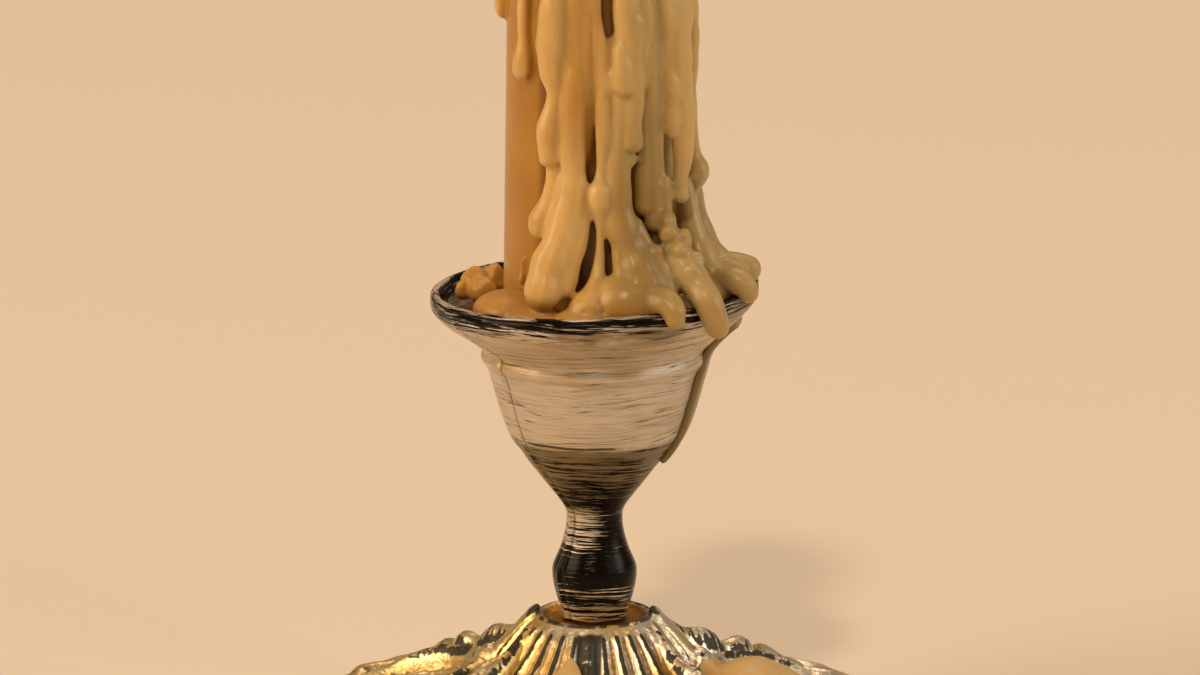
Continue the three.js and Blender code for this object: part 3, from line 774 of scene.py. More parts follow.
def wax_finish(sizes):
    """Ivory wax: amber on the bare candle, paler where it has run and set again."""
    finish = Finish("set_wax")
    place = finish.place()
    x, y, z = finish.parts(place, "XYZ")
    distance = (x * x + y * y) ** 0.5
    proud = distance - (CANDLE_R * MM - (z - CANDLE_REF_Z * MM) * CANDLE_TAPER)
    marks = {"x": x, "z": z, "proud": proud}

    # pale where it has run and set, less so in the thin sheet left of the beads
    pale = finish.step_mm(proud, 0.3, 1.5)
    thin = finish.step_mm(x, -5.5, -3.0) * finish.step_mm(x, 1.2, 0.2)
    pale = pale * (1 - thin * finish.step_mm(z, 76.0, 86.0) * 0.6)
    drift = finish.clouds(place, 160, 3, 0.5)
    patches = finish.clouds(finish.stretch(place, (260, 260, 60)), 1.0, 4, 0.6)
    bare = finish.mix(finish.step(drift, 0.3, 0.75), sizes.shaft_colour, sizes.shaft_deep)
    run = finish.mix(finish.step(patches, 0.3, 0.75), sizes.run_colour, sizes.run_deep)

    # painted shade: the candle darkened between its runs, where the surface lies close to it
    gap = finish.step_mm(proud, 1.1, 0.2) * finish.step_mm(x, -7.4, -6.2)
    gap = gap * finish.step_mm(z, 104.0, 100.0)
    tone = finish.mix(pale, bare, run)
    tone = finish.mix(gap * 0.85, tone, sizes.painted_gap_shade)

    # painted shade on the right side, away from the light, less of it high up
    shade_side = finish.step_mm(x, -2.0, 6.5) * (0.9 - gap * 0.3)
    shade_side = shade_side * (1 - finish.step_mm(z, 78.0, 88.0) * finish.step_mm(x, 9.0, 6.0) * 0.5)
    tone = finish.mix(shade_side, tone, sizes.painted_side_shade)
    tone = lay_tints(finish, tone, THICK_WAX_TINTS, marks, sizes)

    # wax lying in the cup, weaker to the right
    in_cup = finish.step_mm(z, 62.4, 60.4) * finish.step_mm(z, 54.5, 56.0)
    in_cup = in_cup * (0.85 - finish.step_mm(x, -9.0, -3.0) * 0.28)
    in_cup = in_cup * (1 - finish.step_mm(x, 4.0, 11.0) * 0.6)
    tone = finish.mix(in_cup, tone, sizes.pool_wax)
    tone = lay_tints(finish, tone, CUP_WAX_TINTS, marks, sizes)
    specks = sum(finish.near(place, around(*spot), low, high) for spot, low, high in WAX_SPECKS)
    tone = finish.mix(specks, tone, SPECK_COLOUR)

    fine = finish.clouds(place, 900, 4, 0.6)
    pits = finish.clouds(place, 2600, 2, 0.5)
    wave = finish.clouds(place, 240, 2, 0.5)
    normal = finish.bump(wave, 0.5 * MM, 0.5)
    normal = finish.bump(fine * 0.7 + pits * 0.3, 0.08 * MM, 0.5, normal)
    return finish.surface(
        {
            "Base Color": tone,
            "Roughness": 0.24 + fine * 0.22,
            "Normal": normal,
            "IOR": 1.44,
            "Subsurface Weight": 0.45,
            "Subsurface Radius": (1.0, 0.42, 0.14),
            "Subsurface Scale": 2.6 * MM,
            "Specular IOR Level": 0.42,
            "Coat Weight": 0.14,
            "Coat Roughness": 0.24,
        }
    )


class CANDLE_OT_pour_wax(bpy.types.Operator):
    """Makes the candle, every run of wax on it, the pool in the cup and the lap over the rim"""

    bl_idname = "candle.pour_wax"
    bl_label = "Pour the wax"

    def execute(self, context):
        sizes = context.scene.candle_wax
        swell, lift = sizes.run_swell / MM, sizes.run_lift / MM
        runs = [add_run(points, swell, lift) for points in RUNS.values()]
        for turn in OUTSIDE_STRANDS:
            strand = []
            for azimuth, depth in OUTSIDE_RUN:
                z = RIM_Z + depth + cup_radius(depth) * RIM_SLOPE * ease(-depth, 10, 2)
                distance = cup_radius(depth) + OUTSIDE_RUN_PROUD
                strand.append([azimuth + turn, distance, z, OUTSIDE_RUN_R])
            runs.append(add_run(strand))
        melt(runs)
        lumps = [add_lump(*lump) for lump in LUMPS]
        crumbs = [add_crumb(index, *crumb) for index, crumb in enumerate(CRUMBS)]
        wax = join([add_shaft(), add_pool(), *runs, *lumps, *crumbs], "wax")
        remelt(wax, sizes.voxel, sizes.melt_steps)
        finish_modifier(wax, "DECIMATE", ratio=sizes.kept_share)
        shade(wax, 60)
        dress(wax, wax_finish(sizes))
        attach(wax, "root")
        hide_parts("wax_candle")
        return {"FINISHED"}


# ------------------------------------------------------------------ wick

WICK_PATH = [
    [0, 0, 96.0], [0, 0, 101.0], [0.2, -0.1, 103.2], [0.8, -0.3, 105.0], [1.8, -0.7, 106.0],
    [2.9, -1.1, 106.2],
]
WICK_STRANDS = 3
WICK_STRAND_R = 0.42
WICK_BRAID_R = 0.42
WICK_TWIST = 1.35


def wick_finish():
    """Plaited cotton, charred black with grey ash at the tip."""
    finish = Finish("charred_cotton")
    place = finish.place()
    z = finish.parts(place, "Z")[0]
    weave = finish.clouds(finish.stretch(place, (3000, 3000, 900)), 1.0, 4, 0.7)
    char = finish.step_mm(z, 101.8, 103.6)
    tone = finish.mix(char, (0.30, 0.20, 0.10), (0.012, 0.010, 0.009))
    ash = finish.step_mm(z, 105.2, 106.4) * finish.step(weave, 0.45, 0.7)
    tone = finish.mix(ash * 0.6, tone, (0.22, 0.20, 0.18))
    return finish.surface(
        {
            "Base Color": tone,
            "Roughness": 0.95 - weave * 0.1,
            "Normal": finish.bump(weave, 0.15 * MM, 0.8),
        }
    )


class CANDLE_OT_twist_wick(bpy.types.Operator):
    """Makes the charred wick from three twisted strands"""

    bl_idname = "candle.twist_wick"
    bl_label = "Twist the wick"

    def execute(self, context):
        path = chain_through(WICK_PATH, 12)
        walked = np.cumsum([0.0, *np.linalg.norm(np.diff(path, axis=0), axis=1)])
        strands = []
        for turn in range(WICK_STRANDS):
            rows = []
            for i, row in enumerate(path):
                ahead = Vector(path[min(i + 1, len(path) - 1)] - path[max(i - 1, 0)])
                side = ahead.orthogonal().normalized()
                other = ahead.normalized().cross(side)
                angle = walked[i] * WICK_TWIST + turn * math.tau / WICK_STRANDS
                off = side * math.cos(angle) + other * math.sin(angle)
                taper = 1.0 if i < len(path) - 3 else 0.7
                share = taper * (1 + 0.12 * noise.noise(Vector(row) * 1.9))
                rows.append([*(Vector(row) + off * WICK_BRAID_R), share])
            strands.append(add_tube(rows, WICK_STRAND_R))
        melt(strands)
        wick = join(strands, "charred_wick")
        shade(wick, 60)
        dress(wick, wick_finish())
        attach(wick, "root")
        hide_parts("wick")
        return {"FINISHED"}


# ------------------------------------------------------------------ cup and stem

# Outside, from the rim to the foot, as [radius, height from the rim].
CUP_OUTSIDE = [
    [20.15, 0.0], [20.55, -0.12], [20.72, -0.42], [20.60, -0.62], [20.72, -0.84],
    [20.74, -1.35], [20.60, -1.52], [20.70, -1.72], [20.55, -2.15], [20.10, -2.75],
    [19.1, -3.8], [18.2, -4.6], [17.1, -5.4], [16.05, -6.2], [15.2, -6.95], [14.45, -7.6],
    [14.18, -8.1], [14.28, -8.6], [14.35, -9.1], [14.2, -9.6], [13.75, -10.2], [13.35, -11.1],
    [13.05, -12.2], [12.75, -13.4], [12.35, -14.7], [11.95, -16.1], [11.5, -17.4],
    [11.05, -18.6], [10.45, -19.8], [9.5, -21.0], [8.5, -22.5], [7.4, -23.9], [6.2, -25.5],
    [5.1, -26.9], [4.1, -28.3], [3.65, -29.2], [3.55, -30.0], [3.62, -31.2], [3.9, -32.6],
    [4.35, -34.1], [4.9, -35.4], [5.3, -36.4], [5.4, -37.4], [5.2, -39.0], [4.8, -40.6],
    [4.45, -41.6], [4.3, -42.3], [4.2, -42.9],
]

# Inside, from the rim down to the socket's floor.
CUP_INSIDE = [
    [19.75, -0.08], [19.35, -0.6], [18.7, -1.9], [17.6, -3.2], [15.4, -5.2], [13.4, -7.0],
    [12.5, -8.4], [12.0, -9.8], [11.6, -11.2], [10.6, -14.4], [9.4, -18.4], [8.2, -19.6],
]

SEAM_AZIMUTHS = (-58, 122)
SEAM_WIDTH = 0.34
SEAM_HEIGHT = 0.22
SEAM_GROOVE_OFF = 0.75
SEAM_GROOVE_WIDTH = 0.22
SEAM_GROOVE_DEPTH = 0.12
STEM_FOOT_R = 4.0
SCREW_BORE_R = 2.7
SCREW_BORE_TOP = FOOT_Z + 8 - RIM_Z
SCREW_BORE_CONE = 1.4

# Share of the black that the silver covers, as [share of the height, cover].
SILVER_COVER = [
    (0.0, 0.52), (0.03, 0.47), (0.06, 0.38), (0.10, 0.31), (0.13, 0.12), (0.19, 0.05),
    (0.215, 0.36), (0.25, 0.50), (0.335, 0.54), (0.352, 0.40), (0.40, 0.47), (0.485, 0.60),
    (0.54, 0.64), (0.566, 0.90), (0.74, 0.98), (0.90, 0.90), (0.945, 0.62), (0.965, 0.36),
    (0.985, 0.34), (1.0, 0.50),
]

# Share of the silver that is tarnished, in the same way; the band at 0.795 is a painted gold
# sheen on the bead ring.
TARNISH_AND_SHEEN_COVER = [
    (0.0, 1.0), (0.06, 0.75), (0.12, 0.2), (0.30, 0.55), (0.36, 0.6), (0.54, 0.55),
    (0.58, 0.15), (0.77, 0.15), (0.795, 0.95), (0.83, 0.3), (0.90, 0.4), (1.0, 0.1),
]


def brushed(finish, x, y, level, across, up, detail=4):
    """Noise drawn out round the axis, centred on 0."""
    lines = finish.node("ShaderNodeCombineXYZ", values=[x * across, y * across, level * up])
    return finish.clouds(lines, 1.0, detail, 0.62) - 0.5


def silver_finish(sizes):
    """Silver paint dry-brushed round the casting over black."""
    finish = Finish("brushed_silver")
    place = finish.place()
    x, y, z = finish.parts(place, "XYZ")
    level = z - x * RIM_SLOPE * finish.step_mm(z, BEND_FROM, BEND_FULL)
    height = (level - FOOT_Z * MM) / ((RIM_Z - FOOT_Z) * MM)
    sway = finish.clouds(place, 70, 2, 0.5) - 0.5
    patches = finish.clouds(finish.stretch(place, (130, 130, 260)), 1.0, 3, 0.6) - 0.5
    streaks = brushed(finish, x, y, z + sway * 2.0 * MM, 42.0, 2900.0, 3)
    strokes = brushed(finish, x, y, z + sway * 1.5 * MM + x * 0.03, 200.0, 5200.0)
    scratch = brushed(finish, x, y, z - x * 0.05 - sway * 3 * MM, 30.0, 2200.0, 1)

    # where the paint covers the black: thinner on the stem's right side
    cover = finish.levels(height, SILVER_COVER)
    dark_side = finish.step_mm(x, -1.0, 2.5) * finish.step(height, 0.40, 0.34)
    cover = cover - dark_side * finish.step(height, 0.17, 0.22) * 0.20
    paint = cover + streaks * 1.4 + strokes * 1.2 + patches * 0.35
    silver = finish.step(paint, 0.44, 0.54)

    # hair-thin black scratches, the rim's edge, the line under the cup and the mould seam
    thin_line = finish.step(abs(scratch), 0.024, 0.008)
    thin_line = thin_line * finish.step(patches + streaks, -0.14, 0.04)
    silver = silver * (1 - thin_line * 0.75)
    rim_line = finish.step(height, 0.984, 0.988) * finish.step(height, 0.997, 0.992)
    silver = silver * (1 - rim_line * finish.step(streaks + patches * 0.6, 0.28, 0.12))
    level_line = height + sway * 0.03
    dark_line = finish.step(level_line, 0.553, 0.557) * finish.step(level_line, 0.566, 0.561)
    silver = silver * (1 - dark_line * finish.step(patches, -0.14, 0.0) * 0.9)
    angle = finish.math("ARCTAN2", x, y * -1.0)
    radius = (x * x + y * y) ** 0.5
    seam = (angle - math.radians(SEAM_AZIMUTHS[0])) * radius - SEAM_GROOVE_OFF * MM
    seam = finish.step_mm(abs(seam), 0.22, 0.10)
    seam = seam * finish.step(height, 0.97, 0.93) * finish.step(patches + strokes, -0.3, -0.05)
    silver = silver * (1 - seam * 0.55)

    # tarnish with a painted gold sheen on the bead ring, paler hairs, thin paint, and darker
    # olive
    gold = finish.step(patches, -0.10, 0.16) * finish.levels(height, TARNISH_AND_SHEEN_COVER)
    tone = finish.mix(gold, sizes.silver_colour, sizes.tarnish_and_sheen_colour)
    tone = finish.mix(finish.step(strokes, -0.08, 0.16) * 0.4, tone, sizes.silver_pale)
    worn = finish.step(streaks + strokes * 0.5, 0.02, -0.22)
    tone = finish.mix(worn * 0.45, tone, sizes.silver_worn)
    # darker in patches in a band just under the rim
    under_rim_dark = finish.step(height, 0.885, 0.93) * finish.step(height, 0.975, 0.95)
    under_rim_dark = under_rim_dark * finish.step(patches, -0.08, 0.12)
    tone = finish.mix(under_rim_dark * 0.65, tone, sizes.dark_olive_colour)
    olive = finish.step(height, 0.56, 0.545) * finish.step(height, 0.34, 0.40)
    tone = finish.mix(olive * 0.8, tone, sizes.dark_olive_colour)
    tone = finish.mix(silver, sizes.black_colour, tone)

    normal = finish.bump(streaks + strokes, 0.10 * MM, 0.5)
    normal = finish.bump(silver, 0.04 * MM, 0.6, normal)
    return finish.surface(
        {
            "Base Color": tone,
            "Metallic": silver * 0.7,
            "Roughness": 0.09 + silver * (0.33 + (streaks + 0.5) * 0.14),
            "Normal": normal,
            "Specular IOR Level": 0.12,
        }
    )


class CANDLE_OT_cast_cup(bpy.types.Operator):
    """Turns the cup and stem casting, bends its rim and raises its mould seam"""

    bl_idname = "candle.cast_cup"
    bl_label = "Cast the cup and stem"

    def execute(self, context):
        sizes = context.scene.candle_stand
        outside = chain_through(CUP_OUTSIDE, 3)
        inside = chain_through(CUP_INSIDE, 2)
        floor = [[0.0, CUP_INSIDE[-1][1]]]
        foot = [[r, FOOT_Z - RIM_Z] for r in (STEM_FOOT_R, SCREW_BORE_R)]
        bore = [[SCREW_BORE_R, SCREW_BORE_TOP], [0.0, SCREW_BORE_TOP + SCREW_BORE_CONE]]
        profile = [*floor, *inside[::-1], *outside, *foot, *bore]
        profile = [(r, RIM_Z + z) for r, z in profile]
        cup = spin_profile(profile, sizes.turn_steps, "cup_casting")
        points = get_points(cup)
        radius = np.hypot(points[:, 0], points[:, 1]) / MM
        azimuth = azimuths(points)
        depth = points[:, 2] / MM - RIM_Z
        skin = ease(radius - cup_radius(depth), -0.7, -0.25) * (radius > 3.0)
        skin *= ease(depth, -1.0, -2.6)
        for seam in SEAM_AZIMUTHS:
            off = np.radians((azimuth - seam + 180) % 360 - 180) * radius
            ridge = np.exp(-((off / SEAM_WIDTH) ** 2)) * SEAM_HEIGHT
            groove = np.exp(-(((off - SEAM_GROOVE_OFF) / SEAM_GROOVE_WIDTH) ** 2))
            push = (ridge - groove * SEAM_GROOVE_DEPTH) * skin * MM
            points[:, 0] += np.sin(np.radians(azimuth)) * push
            points[:, 1] -= np.cos(np.radians(azimuth)) * push
        set_points(cup, bend_rim(points))
        shade(cup, 35)
        dress(cup, silver_finish(sizes))
        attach(cup, "root")
        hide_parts("cup_and_stem")
        return {"FINISHED"}


# ------------------------------------------------------------------ base

# Height of the plain base, as [radius, z].
BASE_PROFILE = [
    [0, DISH_Z], [5.7, DISH_Z], [6.3, 16.6], [6.75, 17.05], [7.15, 17.2], [7.5, 17.0],
    [7.9, 16.45], [8.4, 16.1], [9.3, 15.1], [11, 12.9], [13, 10.6], [15, 9.1], [18, 7.6],
    [22, 6.4], [26, 5.5], [30, 4.7], [34, 3.7], [38, 2.6], [42, 1.9],
]

UNDERSIDE_RADII = (32.5, 30, 27, 24, 21, 18, 16, 14, 12, 10.5, 9.2)
UNDERSIDE_STEP = 1.1
FINE_ROWS_R = 20.0
FINE_ROW_STEP = 0.34
EDGE_ROWS = 40
TOP_MARK_Z = 30.0

# The fan of ribs reaches this far round from the front, and less further out.
FAN_REACH = 84
FAN_NARROWS = 40
FAN_RING_R = 26.5
COLLAR_FROM_R = 7.9
COLLAR_FULL_R = 9.4

# Ribs of the fan and the single rib at each side, with the radii and heights of their marks.
RIB_PITCH = 11.25
RIB_SHARPNESS = 2.6
RIB_MARKS = ([8, 11, 15, 22, 30, 38, 42], [0.5, 0.85, 1.0, 1.2, 1.2, 0.8, 0.5])
SIDE_RIB_AZIMUTH = 87
SIDE_RIB_HALF_WIDTH = 1.75
SIDE_RIB_MARKS = ([7.0, 8.0, 9.3, 11.2, 13.3, 14.4], [0.0, 0.6, 1.2, 1.5, 1.7, 0.4])

# How far round a point the base's level is taken, to tell crests from valleys.
CREST_REACH = 0.75
CREST_GAIN = 2.2
SIDE_CREST_LOSS = 0.3

# Rolled ridges of one quarter, as [x, y, height, half width] along each.
SCROLLS = [
    # leaf scroll on the diagonal
    [
        [8.8, 4.6, 1.2, 1.0], [11.2, 7.4, 2.9, 1.7], [13.7, 10.0, 4.4, 2.4],
        [15.6, 12.2, 3.2, 1.7], [17.8, 14.7, 4.2, 2.3], [19.2, 17.0, 2.8, 1.6],
        [20.6, 19.3, 3.0, 2.1], [22.8, 22.0, 1.6, 1.6], [24.6, 25.4, 1.0, 1.3],
    ],
    # curl from the leaf round to the side
    [
        [21.0, 15.8, 0.8, 1.0], [25.0, 17.2, 1.2, 1.2], [29.0, 17.0, 1.6, 1.5],
        [31.6, 14.6, 2.0, 1.7], [31.8, 12.0, 1.4, 1.3],
    ],
    # volute at the head of the side frame
    [
        [15.2, 3.2, 1.2, 1.0], [16.6, 4.8, 1.5, 1.1], [18.0, 6.6, 1.7, 1.2],
    ],
]

# Round bosses of one quarter: [x, y, height, radius].
BOSSES = [
    [8.4, 0.4, 1.3, 1.6], [14.3, 0.6, 2.6, 2.0], [16.2, 3.4, 1.5, 1.3], [12.4, 11.4, 0.9, 1.3],
    [16.6, 16.2, 0.9, 1.4], [20.6, 13.6, 0.8, 1.4], [18.6, 20.6, 0.8, 1.4],
    [31.6, 13.0, 1.9, 2.0], [37.0, 0.0, 1.3, 1.8],
]

# The oval frame at each side: its rolled edge is lower away from the stem.
SIDE_FRAME = {
    "x": 27.0,
    "half_x": 12.4,
    "half_y": 10.3,
    "half_width": 1.5,
    "thread": 0.83,
    "flower": 3.4,
    "x_marks": [14.0, 17.0, 20.4, 24.7, 27.7, 32.0, 38.0],
    "heights": [1.6, 3.0, 3.7, 3.0, 1.9, 1.3, 1.0],
}

EDGE_BEAD_IN = 1.5
EDGE_BEAD_HALF_WIDTH = 1.3
EDGE_BEAD_Z = 0.9


def outline_radius(angle):
    return (
        BASE_R
        + OUTLINE_OVAL * np.cos(2 * angle)
        + OUTLINE_LOBES * np.cos(8 * angle)
        + OUTLINE_SCALLOPS * np.cos(32 * angle)
    )


def plain_height(r):
    """The base without its ornament, as a smoothed line through its profile."""
    rows = np.array(BASE_PROFILE)
    spread = np.clip(r * 0.05, 0.06, 1.2)
    shifts = (-1.0, -0.6, -0.2, 0.2, 0.6, 1.0)
    return sum(np.interp(r + s * spread, rows[:, 0], rows[:, 1]) for s in shifts) / len(shifts)


def roll(distance, half_width, height):
    """Height of a rounded roll at a distance from its middle line."""
    return height * np.clip(1 - (distance / half_width) ** 2, 0, 1) ** 0.7


def scroll_height(x, y, path):
    """Height of a roll whose width and height change along a path."""
    rows = chain_through(path, 4)
    best = np.zeros_like(x)
    for (ax, ay, ah, aw), (bx, by, bh, bw) in zip(rows[:-1], rows[1:]):
        dx, dy = bx - ax, by - ay
        t = np.clip(((x - ax) * dx + (y - ay) * dy) / (dx**2 + dy**2), 0, 1)
        off = np.hypot(x - ax - t * dx, y - ay - t * dy)
        best = np.maximum(best, roll(off, aw + t * (bw - aw), ah + t * (bh - ah)))
    return best


def base_height(x, y):
    """Height of the base's top at x, y on the unturned base. Quarters repeat by mirroring."""
    r = np.hypot(x, y)
    ax, ay = np.abs(x), np.abs(y)
    azimuth = np.degrees(np.arctan2(ax, ay))

    # the fan's ribs and the ring across them
    fan_edge = FAN_REACH - FAN_NARROWS * ease(r, 11.5, 17.0)
    in_fan = 1 - ease(azimuth, fan_edge - 3, fan_edge + 1)
    rise = ease(r, COLLAR_FROM_R, COLLAR_FULL_R)
    rib = np.abs(np.cos(np.pi * azimuth / RIB_PITCH)) ** RIB_SHARPNESS
    ornament = in_fan * rise * np.interp(r, *RIB_MARKS) * rib
    ornament += in_fan * roll(r - FAN_RING_R, 1.2, 0.7) * (1 - 0.4 * rib)

    # the single rib at each side
    side = r * np.abs(np.radians(azimuth - SIDE_RIB_AZIMUTH))
    side_rib = roll(side, SIDE_RIB_HALF_WIDTH, 1.0) * np.interp(r, *SIDE_RIB_MARKS)
    ornament = np.maximum(ornament, side_rib)

    # the oval frame, the thread inside it and the flower in its middle
    u = (ax - SIDE_FRAME["x"]) / SIDE_FRAME["half_x"]
    v = ay / SIDE_FRAME["half_y"]
    mean = (SIDE_FRAME["half_x"] + SIDE_FRAME["half_y"]) / 2
    oval = np.hypot(u, v)
    outer_height = np.interp(ax, SIDE_FRAME["x_marks"], SIDE_FRAME["heights"])
    outer_roll = roll((oval - 1) * mean, SIDE_FRAME["half_width"], outer_height)
    ornament = np.maximum(ornament, outer_roll)
    thread = roll((oval - SIDE_FRAME["thread"]) * mean, 0.5, 0.75) * ease(r, 14, 17)
    ornament = np.maximum(ornament, thread)
    inside = 1 - ease(oval, 0.62, 0.86)
    ornament += inside * (0.5 * np.cos(oval * 4.6) - 0.1)
    petals = 1 + 0.25 * np.cos(8 * np.arctan2(v, u))
    ornament = np.maximum(ornament, roll(oval * mean / petals, SIDE_FRAME["flower"], 1.3))

    # the scrolls, the bosses and the bead round the edge
    for path in SCROLLS:
        ornament = np.maximum(ornament, scroll_height(ax, ay, path))
    for bx, by, height, radius in BOSSES:
        ornament = np.maximum(ornament, roll(np.hypot(ax - bx, ay - by), radius, height))
    edge = outline_radius(np.arctan2(y, x)) - r
    ornament = np.maximum(ornament, roll(edge - EDGE_BEAD_IN, EDGE_BEAD_HALF_WIDTH, EDGE_BEAD_Z))
    return plain_height(r) + ornament


def gold_finish(sizes):
    """Pale gold metal leaf, worn through to green-black on its crests."""
    finish = Finish("gold_leaf")
    place = finish.place()
    x, y = finish.parts(place, "XY")
    crest = finish.attribute("crest")
    upper = finish.attribute("upper")
    distance = (x * x + y * y) ** 0.5
    grain = finish.clouds(place, 700, 5, 0.65)
    coarse = finish.clouds(place, 180, 4, 0.6)

    # worn through on the crests, the front's middle rib and the dish's ring, that ring partly
    # painted shade
    patina_and_ring_shade = finish.step(crest + (grain - 0.5) * 1.3 + (coarse - 0.5) * 0.9, 0.42, 0.58)
    centre = x + y * math.tan(math.radians(BASE_TURN))
    centre_rib = finish.step(centre * centre, (1.9 * MM) ** 2, (1.4 * MM) ** 2)
    centre_rib = centre_rib * finish.step_mm(y, -7.9, -8.4)
    centre_rib = centre_rib * finish.step_mm(distance, 19.0, 16.0)
    centre_rib = centre_rib * finish.step(grain + coarse * 0.4, 0.44, 0.56)
    # the dark ring round the dish: partly patina, partly painted shade at its rim
    ring = finish.step_mm(distance, 6.9, 7.1) * finish.step_mm(distance, 7.75, 7.5)
    centre_rib = centre_rib + ring * finish.step(grain, 0.36, 0.48) * 0.95
    patina_and_ring_shade = patina_and_ring_shade + finish.math("MINIMUM", centre_rib, 1.0) * (1 - patina_and_ring_shade)
    dish = finish.step_mm(distance, 6.9, 6.3) * upper
    patina_and_ring_shade = patina_and_ring_shade * (1 - dish) * upper

    # warm and dirty leaf, painted warm light on the left, amber in the valleys, lacquer in the
    # dish
    valley = finish.step(crest + (grain - 0.5) * 0.2, -0.12, -0.38)
    leaf = finish.mix(finish.step(coarse, 0.35, 0.7), sizes.leaf_colour, sizes.leaf_warm_and_warm_light)
    leaf = finish.mix(valley * 0.7, leaf, sizes.amber_colour)
    # painted warm light: the leaf warmer towards the left, the side the warm light comes from
    leaf = finish.mix(finish.step_mm(x, 4.0, -12.0) * 0.6, leaf, sizes.leaf_warm_and_warm_light)
    dull = finish.step(coarse, 0.46, 0.70) * finish.step_mm(distance, 11.0, 20.0)
    leaf = finish.mix(dull * 0.6, leaf, sizes.dull_leaf)
    leaf = finish.mix((1 - upper) * 0.8, leaf, sizes.dull_leaf)
    leaf = finish.mix(dish, leaf, sizes.dish_colour)
    tone = finish.mix(patina_and_ring_shade, leaf, sizes.patina_colour)

    normal = finish.bump(grain, 0.3 * MM, 0.6)
    normal = finish.bump(coarse, 0.6 * MM, 0.5, normal)
    return finish.surface(
        {
            "Base Color": tone,
            "Metallic": 0.86 - patina_and_ring_shade * 0.7 + dish * 0.14,
            "Roughness": 0.22 + grain * 0.2 + patina_and_ring_shade * 0.15 + (1 - upper) * 0.25,
            "Normal": normal,
        }
    )


class CANDLE_OT_cast_base(bpy.types.Operator):
    """Turns the hollow base casting and raises its ribs, frames and scrolls"""

    bl_idname = "candle.cast_base"
    bl_label = "Cast the base"

    def execute(self, context):
        sizes = context.scene.candle_stand
        inner = np.arange(SCREW_HOLE_R, FINE_ROWS_R, FINE_ROW_STEP)
        outer = np.linspace(FINE_ROWS_R, BASE_R, EDGE_ROWS)
        top = [[r, TOP_MARK_Z] for r in (*inner, *outer)]
        side = [[BASE_R, 1.3], [BASE_R - 0.05, 0.5], [BASE_R - 0.4, 0.0]]
        rows = np.array(BASE_PROFILE)
        roof = np.interp(np.array(UNDERSIDE_RADII) + UNDERSIDE_STEP, rows[:, 0], rows[:, 1])
        under = [*zip(UNDERSIDE_RADII, roof - BASE_WALL)]
        foot = [[FOOT_INNER_R, 0.0], [FOOT_INNER_R, 1.9]]
        boss = [[BOSS_R, BOSS_Z], [SCREW_HOLE_R, BOSS_Z]]
        profile = [*top, *side, *foot, *under, *boss, [SCREW_HOLE_R, DISH_Z - 0.5]]
        base = spin_profile([*profile, profile[0]], sizes.turn_steps * 2, "base_casting")
        points = get_points(base) / MM
        x, y, z = points.T
        is_top = z > TOP_MARK_Z - 1
        radius = np.hypot(x, y)
        spread = ease(radius, FINE_ROWS_R, BASE_R)
        spread = np.where(is_top, spread, (radius > BASE_R - 1).astype(float))
        scale = 1 + spread * (outline_radius(np.arctan2(y, x)) / BASE_R - 1)
        x, y = x * scale, y * scale
        height = base_height(x, y)
        grain = 0.05 * wander(np.stack([x, y, np.full_like(x, 7.0)], axis=1), 0.9)
        z = np.where(is_top, height + grain, z)
        ring = [turned(CREST_REACH, 0, k * 45) for k in range(8)]
        level = sum(base_height(x + dx, y + dy) for dx, dy in ring) / len(ring)
        crest = np.where(is_top, (height - level) * CREST_GAIN, 0.0)
        crest *= 1 - SIDE_CREST_LOSS * ease(np.abs(x), 15.0, 20.0)
        set_points(base, np.stack([*turned(x, y, BASE_TURN), z], axis=1) * MM)
        for name, values in (("crest", crest), ("upper", is_top.astype(float))):
            base.data.attributes.new(name, "FLOAT", "POINT").data.foreach_set("value", values)
        shade(base, 60)
        dress(base, gold_finish(sizes))
        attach(base, "root")
        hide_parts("base")
        return {"FINISHED"}


# ------------------------------------------------------------------ screw and washer

MARKS_PER_METRE = 9000.0


def steel_finish():
    """Zinc-plated steel with turning marks."""
    finish = Finish("plated_steel")
    place = finish.place()
    x, y = finish.parts(place, "XY")
    rings = finish.clouds(finish.stretch(place, (400, 400, 400)), 1.0, 4, 0.6)
    distance = (x * x + y * y) ** 0.5
    marks = finish.node(
        "ShaderNodeTexNoise", {"noise_dimensions": "1D"}, {"W": distance * MARKS_PER_METRE}
    )
    tone = finish.mix(rings, (0.52, 0.51, 0.48), (0.66, 0.65, 0.62))
    return finish.surface(
        {
            "Base Color": tone,
            "Metallic": 1.0,
            "Roughness": 0.26 + rings * 0.2,
            "Normal": finish.bump(marks, 0.03 * MM, 0.4),
        }
    )


class CANDLE_OT_fit_screw(bpy.types.Operator):
    """Gives the clamping screw and its washer their plated finish"""

    bl_idname = "candle.fit_screw"
    bl_label = "Fit the screw and washer"

    def execute(self, context):
        material = steel_finish()
        for node in ("base_screw", "base_washer"):
            dress(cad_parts[node], material)
        return {"FINISHED"}


# ------------------------------------------------------------------ wax splashes

# [x, y, half size x, half size y, thickness, pinch towards the stem, drape over the ground]
SPLASHES = {
    "wax_splash_right": [
        [20.9, -4.4, 8.1, 8.4, 4.9, 0.1, 0.0], [24.0, -12.0, 5.0, 6.0, 2.4, 0.0, 0.0],
    ],
    "wax_splash_front": [[-3.5, -15.6, 3.2, 5.2, 1.2, 0.12, 1.0]],
}
SPLASH_VOXEL = 0.22
SPLASH_MELT_STEPS = 5
SPLASH_WANDER = 0.09
SPLASH_LIFT = 0.35
SPLASH_SUNK = 0.8


